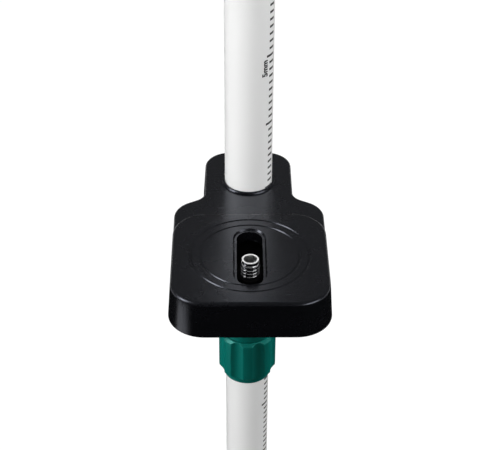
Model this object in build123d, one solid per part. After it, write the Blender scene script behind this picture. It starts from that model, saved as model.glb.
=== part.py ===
from build123d import *
import math
import os

# Telescopic pole that is jacked between floor and ceiling and carries a laser level on a platform.
# Millimetres. The origin is the middle of the floor pad's underside, on the pole's axis.
# +Z is up, and the platform's front points to -Y.

# Fits and gaps
slide_fit = 0.05
turn_fit = 0.05
run_gap = 0.3
flat_gap = 0.2
edge_break = 0.8

# Tubes, each one sliding inside the one below it
lower_tube_r = 16.0
lower_tube_wall = 1.5
lower_tube_length = 820.0
inner_tube_wall = 1.2
bush_wall = 0.95
bush_length = 38.0
bush_lip = 2.0
stage_lift = 2.0

# Floor foot
pad_thickness = 5.0
pad_rim_wall = 2.5
pad_rim_height = 4.0
foot_r = 40.0
foot_disc_thickness = 7.0
foot_edge_drop = 2.5
foot_socket_wall = 4.5
foot_socket_height = 46.0
foot_cone_height = 8.0
foot_rib_count = 6
foot_rib_thickness = 3.0
foot_rib_height = 24.0
foot_rib_margin = 4.0
foot_screw_count = 3
foot_screw_r = 2.5
foot_screw_head_r = 4.0
foot_screw_head_height = 1.6
foot_screw_height = 30.0

# Twist locks: a sleeve with a threaded nose, a split collet and a fluted nut
neck_wall = 2.5
nose_wall = 1.6
nose_length = 17.0
sleeve_grip = 30.0
tube_end_depth = 2.0
nut_wall = 5.1
nut_length = 40.0
nut_shoulder_gap = 0.6
nut_chamfer = 2.2
nut_lobe_length = 33.4
nut_slope_length = 2.2
nut_ring_wall = 1.4
nut_pitch = 2.0
nut_turn_deg = 270.0
nut_end_gap = 0.3
flute_count = 8
flute_depth = 2.0
flute_r = 8.4
collet_length = 16.0
collet_cone_length = 12.0
collet_tip_wall = 0.85
collet_seat_gap = 0.1
collet_slit = 1.2
collet_slit_count = 4
stage_gap = 3.0

# Spring head and ceiling plate
head_r = 17.0
head_taper_r = 13.5
head_taper_length = 14.0
head_socket_depth = 36.0
head_floor = 4.0
chamber_r = 12.0
cap_thickness = 8.0
cap_plug_length = 6.0
rod_r = 6.0
rod_spigot = 6.0
rod_ring_thickness = 4.0
plunger_travel = 30.0
spring_wire = 1.8
spring_turns = 6
ceiling_boss_r = 10.0
ceiling_boss_height = 14.0
ceiling_plate_r = 34.0
ceiling_plate_thickness = 4.0
ceiling_rib_count = 6
ceiling_rib_thickness = 2.5
ceiling_rib_margin = 4.0

# Platform moulding
platform_height = 430.0
skirt_height = 25.0
platform_half_width = 51.0
platform_front = 138.6
platform_centre = 88.0
table_rear = 40.5
table_corner_r = 23.0
shoulder_rear = 30.0
shoulder_outer_r = 19.0
shoulder_inner_r = 9.5
shoulder_inset = 0.3
neck_half_width = 31.0
neck_front = 18.8
neck_rear = 38.0
neck_drop = 2.5
rear_corner_r = 18.5
draft_deg = 4.0
top_edge_r = 2.5
neck_edge_r = 2.0
platform_wall = 3.0
top_thickness = 3.0
lip_gap = 0.6
lip_wall = 0.8
lip_height = 1.7
lip_edge_r = 0.4
ring_radii = (31.6, 37.6)
ring_width = 2.0
ring_floor_width = 1.0
ring_depth = 0.5
slot_length = 52.0
slot_width = 16.5
slot_ledge_width = 1.4
slot_ledge_depth = 1.2
slot_ledge_draft_deg = 35.0
slot_pad_thickness = 8.0
rib_thickness = 2.2
rib_height = 8.0
rib_offset = 18.0

# Stud that screws into the laser, on a slider under the slot
stud_r = 6.0
stud_rise = 10.8
stud_shoulder_r = 6.4
stud_shoulder_drop = 2.6
stud_relief_r = 5.0
stud_journal_r = 5.0
stud_travel = 36.0
stud_chamfer = 0.8
socket_across = 7.4
socket_depth = 5.0
slider_width = 24.0
slider_length = 30.0
slider_thickness = 6.0
rail_width = 6.0
channel_end_gap = 2.0
keeper_thickness = 2.5
keeper_slot_gap = 0.5
keeper_screw_r = 1.5
keeper_screw_head_r = 2.8
keeper_screw_length = 8.0
keeper_screw_inset = 8.0
washer_r = 9.0
washer_thickness = 1.0
knob_r = 16.0
knob_height = 16.0
knob_floor = 4.0
knob_flute_count = 10
knob_flute_r = 4.0
knob_flute_depth = 1.5
knob_edge = 1.5
knob_screw_r = 2.0
knob_screw_head_r = 3.6
knob_screw_head_height = 2.0
knob_screw_length = 12.0

# Hub that carries the platform on the tube
hub_wall = 2.45
liner_wall = 1.95
upper_liner_length = 21.8
lower_liner_length = 20.8
clamp_drop = 132.6
clamp_neck_length = 10.0
clamp_flange_thickness = 3.0
clamp_plug_length = 12.0
hub_boss_height = 7.0
hub_boss_r = 3.6
hub_flange_half = 22.5
hub_flange_thickness = 4.0
hub_flange_corner_r = 4.0
hub_tongue_half = 15.0
hub_tongue_front = 47.0
hub_screw_offset = 18.0
hub_front_screw_x = 11.0
hub_front_screw_y = 40.0
hub_screw_r = 1.8
hub_screw_head_r = 3.4
hub_screw_head_height = 2.4
gusset_spacing = 9.0
gusset_thickness = 3.0
gusset_height = 62.0
gusset_margin = 3.0

# Tube sizes that follow from one another
lower_tube_bore = lower_tube_r - lower_tube_wall
middle_tube_r = lower_tube_bore - slide_fit - bush_wall
middle_tube_bore = middle_tube_r - inner_tube_wall
upper_tube_r = middle_tube_bore - slide_fit - bush_wall
upper_tube_bore = upper_tube_r - inner_tube_wall

# Heights along the pole
foot_floor = pad_thickness + foot_disc_thickness
lower_tube_top = foot_floor + lower_tube_length
lower_shoulder = lower_tube_top + tube_end_depth
nut_travel = nut_pitch * nut_turn_deg / 360
lock_reach = nut_shoulder_gap + nut_length + nut_travel + stage_gap
middle_shoulder = lower_shoulder + lock_reach + sleeve_grip
middle_tube_top = middle_shoulder - tube_end_depth
middle_tube_bottom = foot_floor + bush_lip + stage_lift
upper_tube_bottom = middle_tube_bottom + stage_lift
head_bottom = middle_shoulder + lock_reach
upper_tube_top = head_bottom + head_socket_depth
chamber_floor = upper_tube_top + head_floor
pressed_spring = (spring_turns + 1) * spring_wire
chamber_length = pressed_spring + plunger_travel + rod_ring_thickness + cap_plug_length + 2 * flat_gap
head_top = chamber_floor + chamber_length
cap_top = head_top + cap_thickness
ring_top = head_top - cap_plug_length - flat_gap
ring_bottom = ring_top - rod_ring_thickness
boss_bottom = cap_top + plunger_travel + stage_gap
plate_bottom = boss_bottom + ceiling_boss_height
plate_top = plate_bottom + ceiling_plate_thickness

# Levels under the platform's top, which is at zero in the platform's own frame
plate_under = -top_thickness
neck_top = -neck_drop
neck_under = neck_top - top_thickness
lip_top = neck_top + lip_height
slider_top = -slot_pad_thickness - flat_gap
slider_bottom = slider_top - slider_thickness
keeper_top = slider_bottom - flat_gap
keeper_bottom = keeper_top - keeper_thickness
washer_top = keeper_bottom - flat_gap
washer_bottom = washer_top - washer_thickness
knob_top = washer_bottom - flat_gap
knob_bottom = knob_top - knob_height
knob_seat = knob_bottom + knob_floor
stud_y = -platform_centre - stud_travel / 2
channel_half = slider_width / 2 + flat_gap
rail_outer = channel_half + rail_width
channel_half_length = (slider_length + stud_travel) / 2 + channel_end_gap
hub_bore = lower_tube_r + slide_fit + liner_wall + turn_fit
hub_r = hub_bore + hub_wall
hub_bottom = -clamp_drop + clamp_neck_length + clamp_flange_thickness
flange_top = neck_under - hub_boss_height
flange_bottom = flange_top - hub_flange_thickness
hub_screw_places = [
    (-hub_screw_offset, hub_screw_offset),
    (hub_screw_offset, hub_screw_offset),
    (-hub_screw_offset, -hub_screw_offset),
    (hub_screw_offset, -hub_screw_offset),
    (-hub_front_screw_x, -hub_front_screw_y),
    (hub_front_screw_x, -hub_front_screw_y),
]
keeper_screw_x = channel_half + rail_width / 2
keeper_screw_y = channel_half_length - keeper_screw_inset
keeper_screw_places = [
    (sign_x * keeper_screw_x, sign_y * keeper_screw_y - platform_centre)
    for sign_x in (-1, 1)
    for sign_y in (-1, 1)
]


def turned(*points):
    """A round piece on the Z axis from its half-section of radius and height pairs."""
    corners = [(radius, 0, height) for radius, height in points]
    return revolve(make_face(Polyline(*corners, close=True)), Axis.Z)


def ring(outer_r, inner_r, low, high):
    """A round tube on the Z axis."""
    return turned((inner_r, low), (outer_r, low), (outer_r, high), (inner_r, high))


def rod(radius, low, high):
    """A round bar on the Z axis."""
    return Pos(0, 0, low) * extrude(Circle(radius), high - low)


def block(x_low, x_high, y_low, y_high, z_low, z_high):
    """A square block between two corners."""
    middle = Pos((x_low + x_high) / 2, (y_low + y_high) / 2, z_low)
    return middle * extrude(Rectangle(x_high - x_low, y_high - y_low), z_high - z_low)


def web(points, thickness):
    """A flat plate in the XZ plane, from its outline, centred on that plane."""
    outline = make_face(Polyline(*[(x, 0, z) for x, z in points], close=True))
    return extrude(outline, thickness / 2, both=True)


def around(piece, count, start_deg=0.0):
    """Copies of a piece spaced evenly round the Z axis."""
    return [Rot(0, 0, start_deg + 360 * step / count) * piece for step in range(count)]


def joined(pieces):
    """Several pieces added into one shape."""
    total = pieces[0]
    for piece in pieces[1:]:
        total += piece
    return total


# Floor foot


def foot_pad():
    """Rubber sole with a rim that grips the edge of the foot's disc."""
    rim_r = foot_r + pad_rim_wall
    return turned(
        (0, 0),
        (rim_r - edge_break, 0),
        (rim_r, edge_break),
        (rim_r, pad_thickness + pad_rim_height),
        (foot_r, pad_thickness + pad_rim_height),
        (foot_r, pad_thickness),
        (0, pad_thickness),
    )


def foot_screw():
    """Domed screw along +X that holds the tube in the foot's socket."""
    socket_r = lower_tube_r + foot_socket_wall
    shank = rod(foot_screw_r, lower_tube_bore + run_gap, socket_r)
    head = turned(
        (0, socket_r),
        (foot_screw_head_r, socket_r),
        (foot_screw_head_r, socket_r + foot_screw_head_height / 2),
        (foot_screw_head_r - edge_break, socket_r + foot_screw_head_height),
        (0, socket_r + foot_screw_head_height),
    )
    return Pos(0, 0, foot_floor + foot_screw_height) * Rot(0, 90, 0) * (shank + head)


def foot_screw_holes():
    """Round holes for the foot's screws, through the socket and the tube."""
    socket_r = lower_tube_r + foot_socket_wall
    hole = Rot(0, 90, 0) * rod(foot_screw_r, 0, socket_r + foot_screw_head_height)
    return around(Pos(0, 0, foot_floor + foot_screw_height) * hole, foot_screw_count)


def foot_body():
    """Moulded foot: a disc, a socket for the tube and ribs between them."""
    socket_r = lower_tube_r + foot_socket_wall
    socket_top = foot_floor + foot_socket_height
    body = turned(
        (0, pad_thickness),
        (foot_r, pad_thickness),
        (foot_r, foot_floor - foot_edge_drop),
        (socket_r + foot_cone_height, foot_floor),
        (socket_r, foot_floor + foot_cone_height),
        (socket_r, socket_top - edge_break),
        (socket_r - edge_break, socket_top),
        (lower_tube_r, socket_top),
        (lower_tube_r, foot_floor),
        (0, foot_floor),
    )
    inside = (socket_r + lower_tube_r) / 2
    rib_points = [
        (inside, pad_thickness + foot_edge_drop),
        (foot_r - foot_rib_margin, pad_thickness + foot_edge_drop),
        (foot_r - foot_rib_margin, foot_floor - foot_edge_drop + edge_break),
        (socket_r + edge_break, foot_floor + foot_rib_height),
        (inside, foot_floor + foot_rib_height),
    ]
    rib = web(rib_points, foot_rib_thickness)
    body = joined([body] + around(rib, foot_rib_count, 180 / foot_rib_count))
    for hole in foot_screw_holes():
        body -= hole
    return body


def lower_tube():
    """Painted aluminium tube that carries the printed scale."""
    tube = ring(lower_tube_r, lower_tube_bore, foot_floor, lower_tube_top)
    for hole in foot_screw_holes():
        tube -= hole
    return tube


# Twist locks, drawn with the sleeve's shoulder at zero and the nut above it


def lock_sleeve(carrier_r, moving_r):
    """Sleeve fixed on a tube's end, with a neck and a nose for the nut."""
    neck_r = carrier_r + neck_wall
    nose_r = carrier_r + nose_wall
    return turned(
        (carrier_r, -sleeve_grip),
        (neck_r - edge_break, -sleeve_grip),
        (neck_r, edge_break - sleeve_grip),
        (neck_r, 0),
        (nose_r, 0),
        (nose_r, nose_length),
        (moving_r + run_gap, nose_length),
        (moving_r + run_gap, -tube_end_depth),
        (carrier_r, -tube_end_depth),
    )


def lock_collet(carrier_r, moving_r):
    """Split ring with a tapered end that the nut closes on the tube."""
    low = nose_length + collet_seat_gap
    high = low + collet_length
    cone_low = high - collet_cone_length
    head_outer = carrier_r + nose_wall - run_gap
    bore_r = moving_r + slide_fit
    body = turned(
        (bore_r, low),
        (head_outer, low),
        (head_outer, cone_low),
        (moving_r + collet_tip_wall, high),
        (bore_r, high),
    )
    half_slit = collet_slit / 2
    through = block(0, 2 * head_outer, -half_slit, half_slit, low, high)
    partial = block(0, 2 * head_outer, -half_slit, half_slit, (low + cone_low) / 2, high)
    body -= through
    for slit in around(partial, collet_slit_count)[1:]:
        body -= slit
    return body


def lock_nut(carrier_r, moving_r):
    """Fluted nut with a thread bore, an inner taper and a plain ring at its far end."""
    open_end = nut_shoulder_gap
    far_end = open_end + nut_length
    lobe_end = open_end + nut_lobe_length
    nut_r = carrier_r + nut_wall
    ring_r = moving_r + nut_ring_wall
    bore_r = carrier_r + nose_wall + turn_fit
    collet_high = nose_length + collet_seat_gap + collet_length
    cone_low = collet_high - collet_cone_length
    head_outer = carrier_r + nose_wall - run_gap
    tip_r = moving_r + collet_tip_wall
    cone_rate = (head_outer - tip_r) / collet_cone_length
    body = turned(
        (bore_r, open_end),
        (nut_r - nut_chamfer, open_end),
        (nut_r, open_end + nut_chamfer),
        (nut_r, lobe_end),
        (ring_r, lobe_end + nut_slope_length),
        (ring_r, far_end),
        (moving_r + run_gap, far_end),
        (moving_r + run_gap, collet_high + nut_end_gap),
        (tip_r + turn_fit - cone_rate * nut_end_gap, collet_high + nut_end_gap),
        (head_outer + turn_fit, cone_low),
        (bore_r, cone_low),
    )
    flute = Pos(nut_r + flute_r - flute_depth, 0, 0) * rod(flute_r, 0, far_end)
    for cutter in around(flute, flute_count, 180 / flute_count + 90):
        body -= cutter
    return body


def guide_bush(outer_r, tube_r, tube_bore, bottom):
    """Nylon bush on a sliding tube's lower end, with a lip under the tube."""
    return turned(
        (tube_bore, bottom - bush_lip),
        (outer_r, bottom - bush_lip),
        (outer_r, bottom + bush_length),
        (tube_r, bottom + bush_length),
        (tube_r, bottom),
        (tube_bore, bottom),
    )


# Spring head


def head_body():
    """Housing on the upper tube's end, with a socket below and a spring chamber above."""
    return turned(
        (upper_tube_r, head_bottom),
        (head_taper_r, head_bottom),
        (head_r, head_bottom + head_taper_length),
        (head_r, head_top),
        (chamber_r, head_top),
        (chamber_r, chamber_floor),
        (0, chamber_floor),
        (0, upper_tube_top),
        (upper_tube_r, upper_tube_top),
    )


def head_cap():
    """Screwed cap that guides the rod and stops its ring."""
    bore_r = rod_r + slide_fit
    return turned(
        (bore_r, head_top - cap_plug_length),
        (chamber_r, head_top - cap_plug_length),
        (chamber_r, head_top),
        (head_r, head_top),
        (head_r, cap_top - edge_break),
        (head_r - edge_break, cap_top),
        (bore_r, cap_top),
    )


def plunger_rod():
    """Steel rod that the spring pushes up against the ceiling."""
    return rod(rod_r, ring_bottom - rod_spigot, plate_bottom)


def plunger_ring():
    """Ring snapped on the rod, which the spring presses on."""
    return ring(chamber_r - run_gap, rod_r, ring_bottom, ring_top)


def plunger_spring():
    """Square-wire compression spring between the chamber's floor and the rod's ring."""
    low = chamber_floor + spring_wire / 2 + flat_gap
    height = ring_bottom - spring_wire / 2 - flat_gap - low
    coil_r = (chamber_r + rod_r) / 2
    path = Pos(0, 0, low) * Helix(height / spring_turns, height, coil_r)
    section = Plane(path @ 0, x_dir=(1, 0, 0), z_dir=path % 0) * Rectangle(spring_wire, spring_wire)
    return sweep(section, path, is_frenet=True)


def ceiling_plate():
    """Moulded plate on the rod, with a boss and radial ribs underneath."""
    plate = turned(
        (0, plate_bottom),
        (rod_r, plate_bottom),
        (rod_r, boss_bottom),
        (ceiling_boss_r, boss_bottom),
        (ceiling_boss_r, plate_bottom),
        (ceiling_plate_r, plate_bottom),
        (ceiling_plate_r, plate_top),
        (0, plate_top),
    )
    inside = (rod_r + ceiling_boss_r) / 2
    middle = (plate_bottom + plate_top) / 2
    rib_points = [
        (inside, boss_bottom + edge_break),
        (ceiling_boss_r + edge_break, boss_bottom + edge_break),
        (ceiling_plate_r - ceiling_rib_margin, plate_bottom - edge_break),
        (ceiling_plate_r - ceiling_rib_margin, middle),
        (inside, middle),
    ]
    rib = web(rib_points, ceiling_rib_thickness)
    return joined([plate] + around(rib, ceiling_rib_count))


def ceiling_pad():
    """Rubber pad with a rim that grips the ceiling plate's edge."""
    rim_r = ceiling_plate_r + pad_rim_wall
    pad_top = plate_top + pad_thickness
    return turned(
        (0, plate_top),
        (ceiling_plate_r, plate_top),
        (ceiling_plate_r, plate_top - ceiling_plate_thickness),
        (rim_r, plate_top - ceiling_plate_thickness),
        (rim_r, pad_top - edge_break),
        (rim_r - edge_break, pad_top),
        (0, pad_top),
    )


# Platform, drawn with its top at zero


def table_plan():
    """Plan of the table's lower edge: a square with round corners."""
    plan = RectangleRounded(2 * platform_half_width, platform_front - table_rear, table_corner_r)
    return Pos(0, -(platform_front + table_rear) / 2, 0) * plan


def neck_plan():
    """Plan of the neck's lower edge, with shoulders that run into the table's sides."""
    shoulder_half = platform_half_width - shoulder_inset
    half = [
        (neck_half_width, neck_rear),
        (neck_half_width, -neck_front),
        (shoulder_half, -shoulder_rear),
        (shoulder_half, -platform_centre),
    ]
    radii = (rear_corner_r, shoulder_inner_r, shoulder_outer_r)
    mirrored = [(-x, y) for x, y in half]
    plan = make_face(Polyline(*reversed(half), *mirrored, close=True))
    for (corner_x, corner_y), radius in zip(half, radii):
        for sign in (-1, 1):
            corner = Vector(sign * corner_x, corner_y, 0)
            plan = fillet(plan.vertices().sort_by_distance(corner)[0], radius)
    return plan


def drafted(plan, top, edge_r):
    """Block with drafted walls on a plan, with a rounded upper edge."""
    solid = Pos(0, 0, -skirt_height) * extrude(plan, skirt_height + top, taper=draft_deg)
    return fillet(solid.faces().sort_by(Axis.Z)[-1].edges(), edge_r)


def platform_shell():
    """Raised table and lower neck in one tray, open below."""
    solid = drafted(table_plan(), 0, top_edge_r) + drafted(neck_plan(), neck_top, neck_edge_r)
    for plan, ceiling in ((table_plan(), plate_under), (neck_plan(), neck_under)):
        room = extrude(offset(plan, -platform_wall), skirt_height + ceiling, taper=draft_deg)
        solid -= Pos(0, 0, -skirt_height) * room
    return solid


def platform_underside():
    """Slot pad, slider rails, stiffening ribs and screw bosses under the top."""
    root = plate_under + top_thickness / 2
    rear = channel_half_length - platform_centre
    front = -channel_half_length - platform_centre
    pieces = [block(-rail_outer, rail_outer, front, rear, -slot_pad_thickness, root)]
    draft_in = skirt_height * math.tan(math.radians(draft_deg))
    reach = platform_half_width - draft_in - platform_wall / 2
    for sign in (-1, 1):
        inner, outer = sorted((sign * channel_half, sign * rail_outer))
        pieces.append(block(inner, outer, front, rear, keeper_top, root))
        for rib_y in (-platform_centre - rib_offset, -platform_centre + rib_offset):
            near, far = sorted((sign * keeper_screw_x, sign * reach))
            half = rib_thickness / 2
            low = plate_under - rib_height
            pieces.append(block(near, far, rib_y - half, rib_y + half, low, root))
    for x, y in hub_screw_places:
        pieces.append(Pos(x, y, 0) * rod(hub_boss_r, flange_top, neck_under + top_thickness / 2))
    return joined(pieces)


def pole_lip():
    """Raised rounded lip round the hole for the tube."""
    lip_r = lower_tube_r + lip_gap + lip_wall
    collar = rod(lip_r, neck_under, lip_top)
    return fillet(collar.edges().sort_by(Axis.Z)[-1], lip_edge_r)


def platform_grooves():
    """Shallow rings in the top, round the slot."""
    half_top = ring_width / 2
    half_floor = ring_floor_width / 2
    rings = [
        turned(
            (radius - half_top, 0),
            (radius - half_floor, -ring_depth),
            (radius + half_floor, -ring_depth),
            (radius + half_top, 0),
        )
        for radius in ring_radii
    ]
    return [Pos(0, -platform_centre, 0) * groove for groove in rings]


def platform_slot():
    """Long hole for the stud, with a sunk ledge and a sloped wall round its mouth."""
    hole = extrude(SlotOverall(slot_length, slot_width, rotation=90), -slot_pad_thickness)
    rim = 2 * slot_ledge_width
    ledge_plan = SlotOverall(slot_length + rim, slot_width + rim, rotation=90)
    mouth = extrude(ledge_plan, slot_ledge_depth, taper=-slot_ledge_draft_deg)
    return Pos(0, -platform_centre, 0) * (hole + Pos(0, 0, -slot_ledge_depth) * mouth)


def platform_body():
    """The whole moulding: tray, lip, underside, slot, grooves and holes."""
    body = platform_shell() + platform_underside() + pole_lip()
    body -= platform_slot()
    for groove in platform_grooves():
        body -= groove
    body -= rod(lower_tube_r + lip_gap, neck_under, lip_top)
    for x, y in hub_screw_places:
        body -= Pos(x, y, 0) * rod(hub_screw_r, flange_top, neck_under)
    for x, y in keeper_screw_places:
        body -= Pos(x, y, 0) * rod(keeper_screw_r, keeper_top, keeper_bottom + keeper_screw_length)
    return body


# Hub under the platform's neck


def hub_sleeve():
    """Guide sleeve with counterbores for the liners, a flange and two gussets."""
    upper_shelf = neck_under - upper_liner_length - 2 * flat_gap
    lower_shelf = hub_bottom + clamp_plug_length + lower_liner_length + 2 * flat_gap
    waist_r = hub_bore - turn_fit - liner_wall / 2
    body = turned(
        (hub_bore, neck_under),
        (hub_r, neck_under),
        (hub_r, hub_bottom),
        (hub_bore, hub_bottom),
        (hub_bore, lower_shelf),
        (waist_r, lower_shelf),
        (waist_r, upper_shelf),
        (hub_bore, upper_shelf),
    )
    square = RectangleRounded(2 * hub_flange_half, 2 * hub_flange_half, hub_flange_corner_r)
    tongue = RectangleRounded(2 * hub_tongue_half, hub_tongue_front, hub_flange_corner_r)
    plan = square + Pos(0, -hub_tongue_front / 2, 0) * tongue
    plan = Pos(0, 0, flange_bottom) * (plan - Circle((hub_r + hub_bore) / 2))
    body += extrude(plan, hub_flange_thickness)
    root = -(hub_r + hub_bore) / 2
    gusset_tip = gusset_margin - hub_tongue_front
    gusset_points = [
        (root, flange_top - edge_break),
        (gusset_tip, flange_top - edge_break),
        (gusset_tip, flange_bottom - edge_break),
        (-hub_r, flange_bottom - gusset_height),
        (root, flange_bottom - gusset_height),
    ]
    gusset = Rot(0, 0, 90) * web(gusset_points, gusset_thickness)
    cutter = rod((hub_r + hub_bore) / 2, hub_bottom, neck_under)
    for sign in (-1, 1):
        body += Pos(sign * gusset_spacing / 2, 0, 0) * gusset - cutter
    for x, y in hub_screw_places:
        body -= Pos(x, y, 0) * rod(hub_screw_r, flange_bottom, flange_top)
    return body


def hub_screws():
    """Pan-head screws that hold the hub's flange to the platform's bosses."""
    shank = rod(hub_screw_r, flange_bottom, neck_under)
    head = turned(
        (0, flange_bottom),
        (hub_screw_head_r, flange_bottom),
        (hub_screw_head_r, flange_bottom - hub_screw_head_height + edge_break),
        (hub_screw_head_r - edge_break, flange_bottom - hub_screw_head_height),
        (0, flange_bottom - hub_screw_head_height),
    )
    return joined([Pos(x, y, 0) * (shank + head) for x, y in hub_screw_places])


def liner(top, length):
    """Nylon liner that runs on the tube inside the hub."""
    return ring(hub_bore - turn_fit, lower_tube_r + slide_fit, top - length, top)


def clamp_sleeve():
    """Threaded sleeve in the hub's lower end, drawn like the tube locks' sleeves."""
    bore_r = lower_tube_r + run_gap
    neck_r = lower_tube_r + neck_wall
    nose_r = lower_tube_r + nose_wall
    flange_low = -clamp_neck_length - clamp_flange_thickness
    return turned(
        (bore_r, flange_low - clamp_plug_length),
        (hub_bore, flange_low - clamp_plug_length),
        (hub_bore, flange_low),
        (hub_r, flange_low),
        (hub_r, -clamp_neck_length - edge_break),
        (hub_r - edge_break, -clamp_neck_length),
        (neck_r, -clamp_neck_length),
        (neck_r, 0),
        (nose_r, 0),
        (nose_r, nose_length),
        (bore_r, nose_length),
    )


# Stud, slider and knob


def mount_stud():
    """Chromed stud: threaded top with a socket, a relief groove, a shoulder and a journal."""
    body = turned(
        (0, knob_seat),
        (stud_journal_r, knob_seat),
        (stud_journal_r, slider_top),
        (stud_shoulder_r, slider_top),
        (stud_shoulder_r, -stud_shoulder_drop),
        (stud_relief_r, -stud_shoulder_drop),
        (stud_relief_r, 0),
        (stud_r, 0),
        (stud_r, stud_rise - stud_chamfer),
        (stud_r - stud_chamfer, stud_rise),
        (0, stud_rise),
    )
    hexagon = RegularPolygon(socket_across / 2, 6, major_radius=False)
    body -= Pos(0, 0, stud_rise) * extrude(hexagon, -socket_depth)
    hole_top = knob_bottom + knob_screw_length
    return Pos(0, stud_y, 0) * (body - rod(knob_screw_r, knob_seat, hole_top))


def stud_slider():
    """Block that runs between the rails and carries the stud."""
    body = Pos(0, 0, slider_bottom) * extrude(
        RectangleRounded(slider_width, slider_length, edge_break), slider_thickness
    )
    bore = rod(stud_journal_r + turn_fit, slider_bottom, slider_top)
    return Pos(0, stud_y, 0) * (body - bore)


def slider_keeper():
    """Plate screwed under the rails that keeps the slider up."""
    plan = RectangleRounded(2 * rail_outer, 2 * channel_half_length, edge_break)
    slot_r = stud_journal_r + keeper_slot_gap
    plan -= SlotCenterToCenter(stud_travel, 2 * slot_r, rotation=90)
    body = Pos(0, -platform_centre, keeper_bottom) * extrude(plan, keeper_thickness)
    for x, y in keeper_screw_places:
        body -= Pos(x, y, 0) * keeper_screw()
    return body


def keeper_screw():
    """Countersunk screw, flush with the keeper's underside."""
    neck = keeper_bottom + keeper_screw_head_r - keeper_screw_r
    return turned(
        (0, keeper_bottom),
        (keeper_screw_head_r, keeper_bottom),
        (keeper_screw_r, neck),
        (keeper_screw_r, keeper_bottom + keeper_screw_length),
        (0, keeper_bottom + keeper_screw_length),
    )


def stud_washer():
    """Plain washer between the keeper and the knob."""
    return Pos(0, stud_y, 0) * ring(washer_r, stud_journal_r + turn_fit, washer_bottom, washer_top)


def stud_knob():
    """Fluted knob on the stud's lower end."""
    body = turned(
        (0, knob_bottom),
        (knob_r - knob_edge, knob_bottom),
        (knob_r, knob_bottom + knob_edge),
        (knob_r, knob_top - knob_edge),
        (knob_r - knob_edge, knob_top),
        (0, knob_top),
    )
    centre = knob_r + knob_flute_r - knob_flute_depth
    flute = Pos(centre, 0, 0) * rod(knob_flute_r, knob_bottom, knob_top)
    for cutter in around(flute, knob_flute_count):
        body -= cutter
    body -= rod(stud_journal_r, knob_seat, knob_top)
    body -= rod(knob_screw_r, knob_bottom, knob_seat)
    body -= rod(knob_screw_head_r, knob_bottom, knob_bottom + knob_screw_head_height)
    return Pos(0, stud_y, 0) * body


def knob_screw():
    """Screw that holds the knob on the stud, with its head sunk in the knob."""
    seat = knob_bottom + knob_screw_head_height
    shank = rod(knob_screw_r, seat, knob_bottom + knob_screw_length)
    return Pos(0, stud_y, 0) * (shank + rod(knob_screw_head_r, knob_bottom, seat))


# Assembly: every piece at its place on the pole
platform_place = Pos(0, 0, platform_height)
clamp_place = Pos(0, 0, platform_height - clamp_drop) * Rot(180, 0, 0)
lower_lock_place = Pos(0, 0, lower_shoulder)
middle_lock_place = Pos(0, 0, middle_shoulder)
clamp_tubes = (lower_tube_r, lower_tube_r)
lower_lock_tubes = (lower_tube_r, middle_tube_r)
middle_lock_tubes = (middle_tube_r, upper_tube_r)
lower_liner_top = hub_bottom + clamp_plug_length + flat_gap + lower_liner_length

pieces = {
    "foot_pad": foot_pad(),
    "foot_body": foot_body(),
    "foot_screws": joined(around(foot_screw(), foot_screw_count)),
    "lower_tube": lower_tube(),
    "lower_lock_sleeve": lower_lock_place * lock_sleeve(*lower_lock_tubes),
    "lower_lock_collet": lower_lock_place * lock_collet(*lower_lock_tubes),
    "lower_lock_nut": lower_lock_place * lock_nut(*lower_lock_tubes),
    "middle_tube": ring(middle_tube_r, middle_tube_bore, middle_tube_bottom, middle_tube_top),
    "middle_guide_bush": guide_bush(
        lower_tube_bore - slide_fit, middle_tube_r, middle_tube_bore, middle_tube_bottom
    ),
    "middle_lock_sleeve": middle_lock_place * lock_sleeve(*middle_lock_tubes),
    "middle_lock_collet": middle_lock_place * lock_collet(*middle_lock_tubes),
    "middle_lock_nut": middle_lock_place * lock_nut(*middle_lock_tubes),
    "upper_tube": ring(upper_tube_r, upper_tube_bore, upper_tube_bottom, upper_tube_top),
    "upper_guide_bush": guide_bush(
        middle_tube_bore - slide_fit, upper_tube_r, upper_tube_bore, upper_tube_bottom
    ),
    "head_body": head_body(),
    "head_cap": head_cap(),
    "plunger_rod": plunger_rod(),
    "plunger_ring": plunger_ring(),
    "plunger_spring": plunger_spring(),
    "ceiling_plate": ceiling_plate(),
    "ceiling_pad": ceiling_pad(),
    "platform_body": platform_place * platform_body(),
    "hub_sleeve": platform_place * hub_sleeve(),
    "hub_screws": platform_place * hub_screws(),
    "upper_liner": platform_place * liner(neck_under - flat_gap, upper_liner_length),
    "lower_liner": platform_place * liner(lower_liner_top, lower_liner_length),
    "clamp_sleeve": clamp_place * clamp_sleeve(),
    "clamp_collet": clamp_place * lock_collet(*clamp_tubes),
    "clamp_nut": clamp_place * lock_nut(*clamp_tubes),
    "mount_stud": platform_place * mount_stud(),
    "stud_slider": platform_place * stud_slider(),
    "slider_keeper": platform_place * slider_keeper(),
    "keeper_screws": platform_place
    * joined([Pos(x, y, 0) * keeper_screw() for x, y in keeper_screw_places]),
    "stud_washer": platform_place * stud_washer(),
    "stud_knob": platform_place * stud_knob(),
    "knob_screw": platform_place * knob_screw(),
}

os.makedirs("parts", exist_ok=True)
for name, piece in pieces.items():
    export_step(piece, f"parts/{name}.step")

nut_end = platform_height - clamp_drop - nut_shoulder_gap - nut_length - nut_travel
print("height", round(plate_top + pad_thickness, 2))
print("room below the clamp nut", round(nut_end - foot_floor - foot_socket_height, 2))
print("room above the lip", round(lower_shoulder - sleeve_grip - platform_height - lip_top, 2))
print("room above the middle bush", round(lower_tube_top - middle_tube_bottom - bush_length, 2))
print("room above the upper bush", round(middle_tube_top - upper_tube_bottom - bush_length, 2))
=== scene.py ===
import math

import bmesh
import bpy
from mathutils import Matrix, Vector


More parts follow.
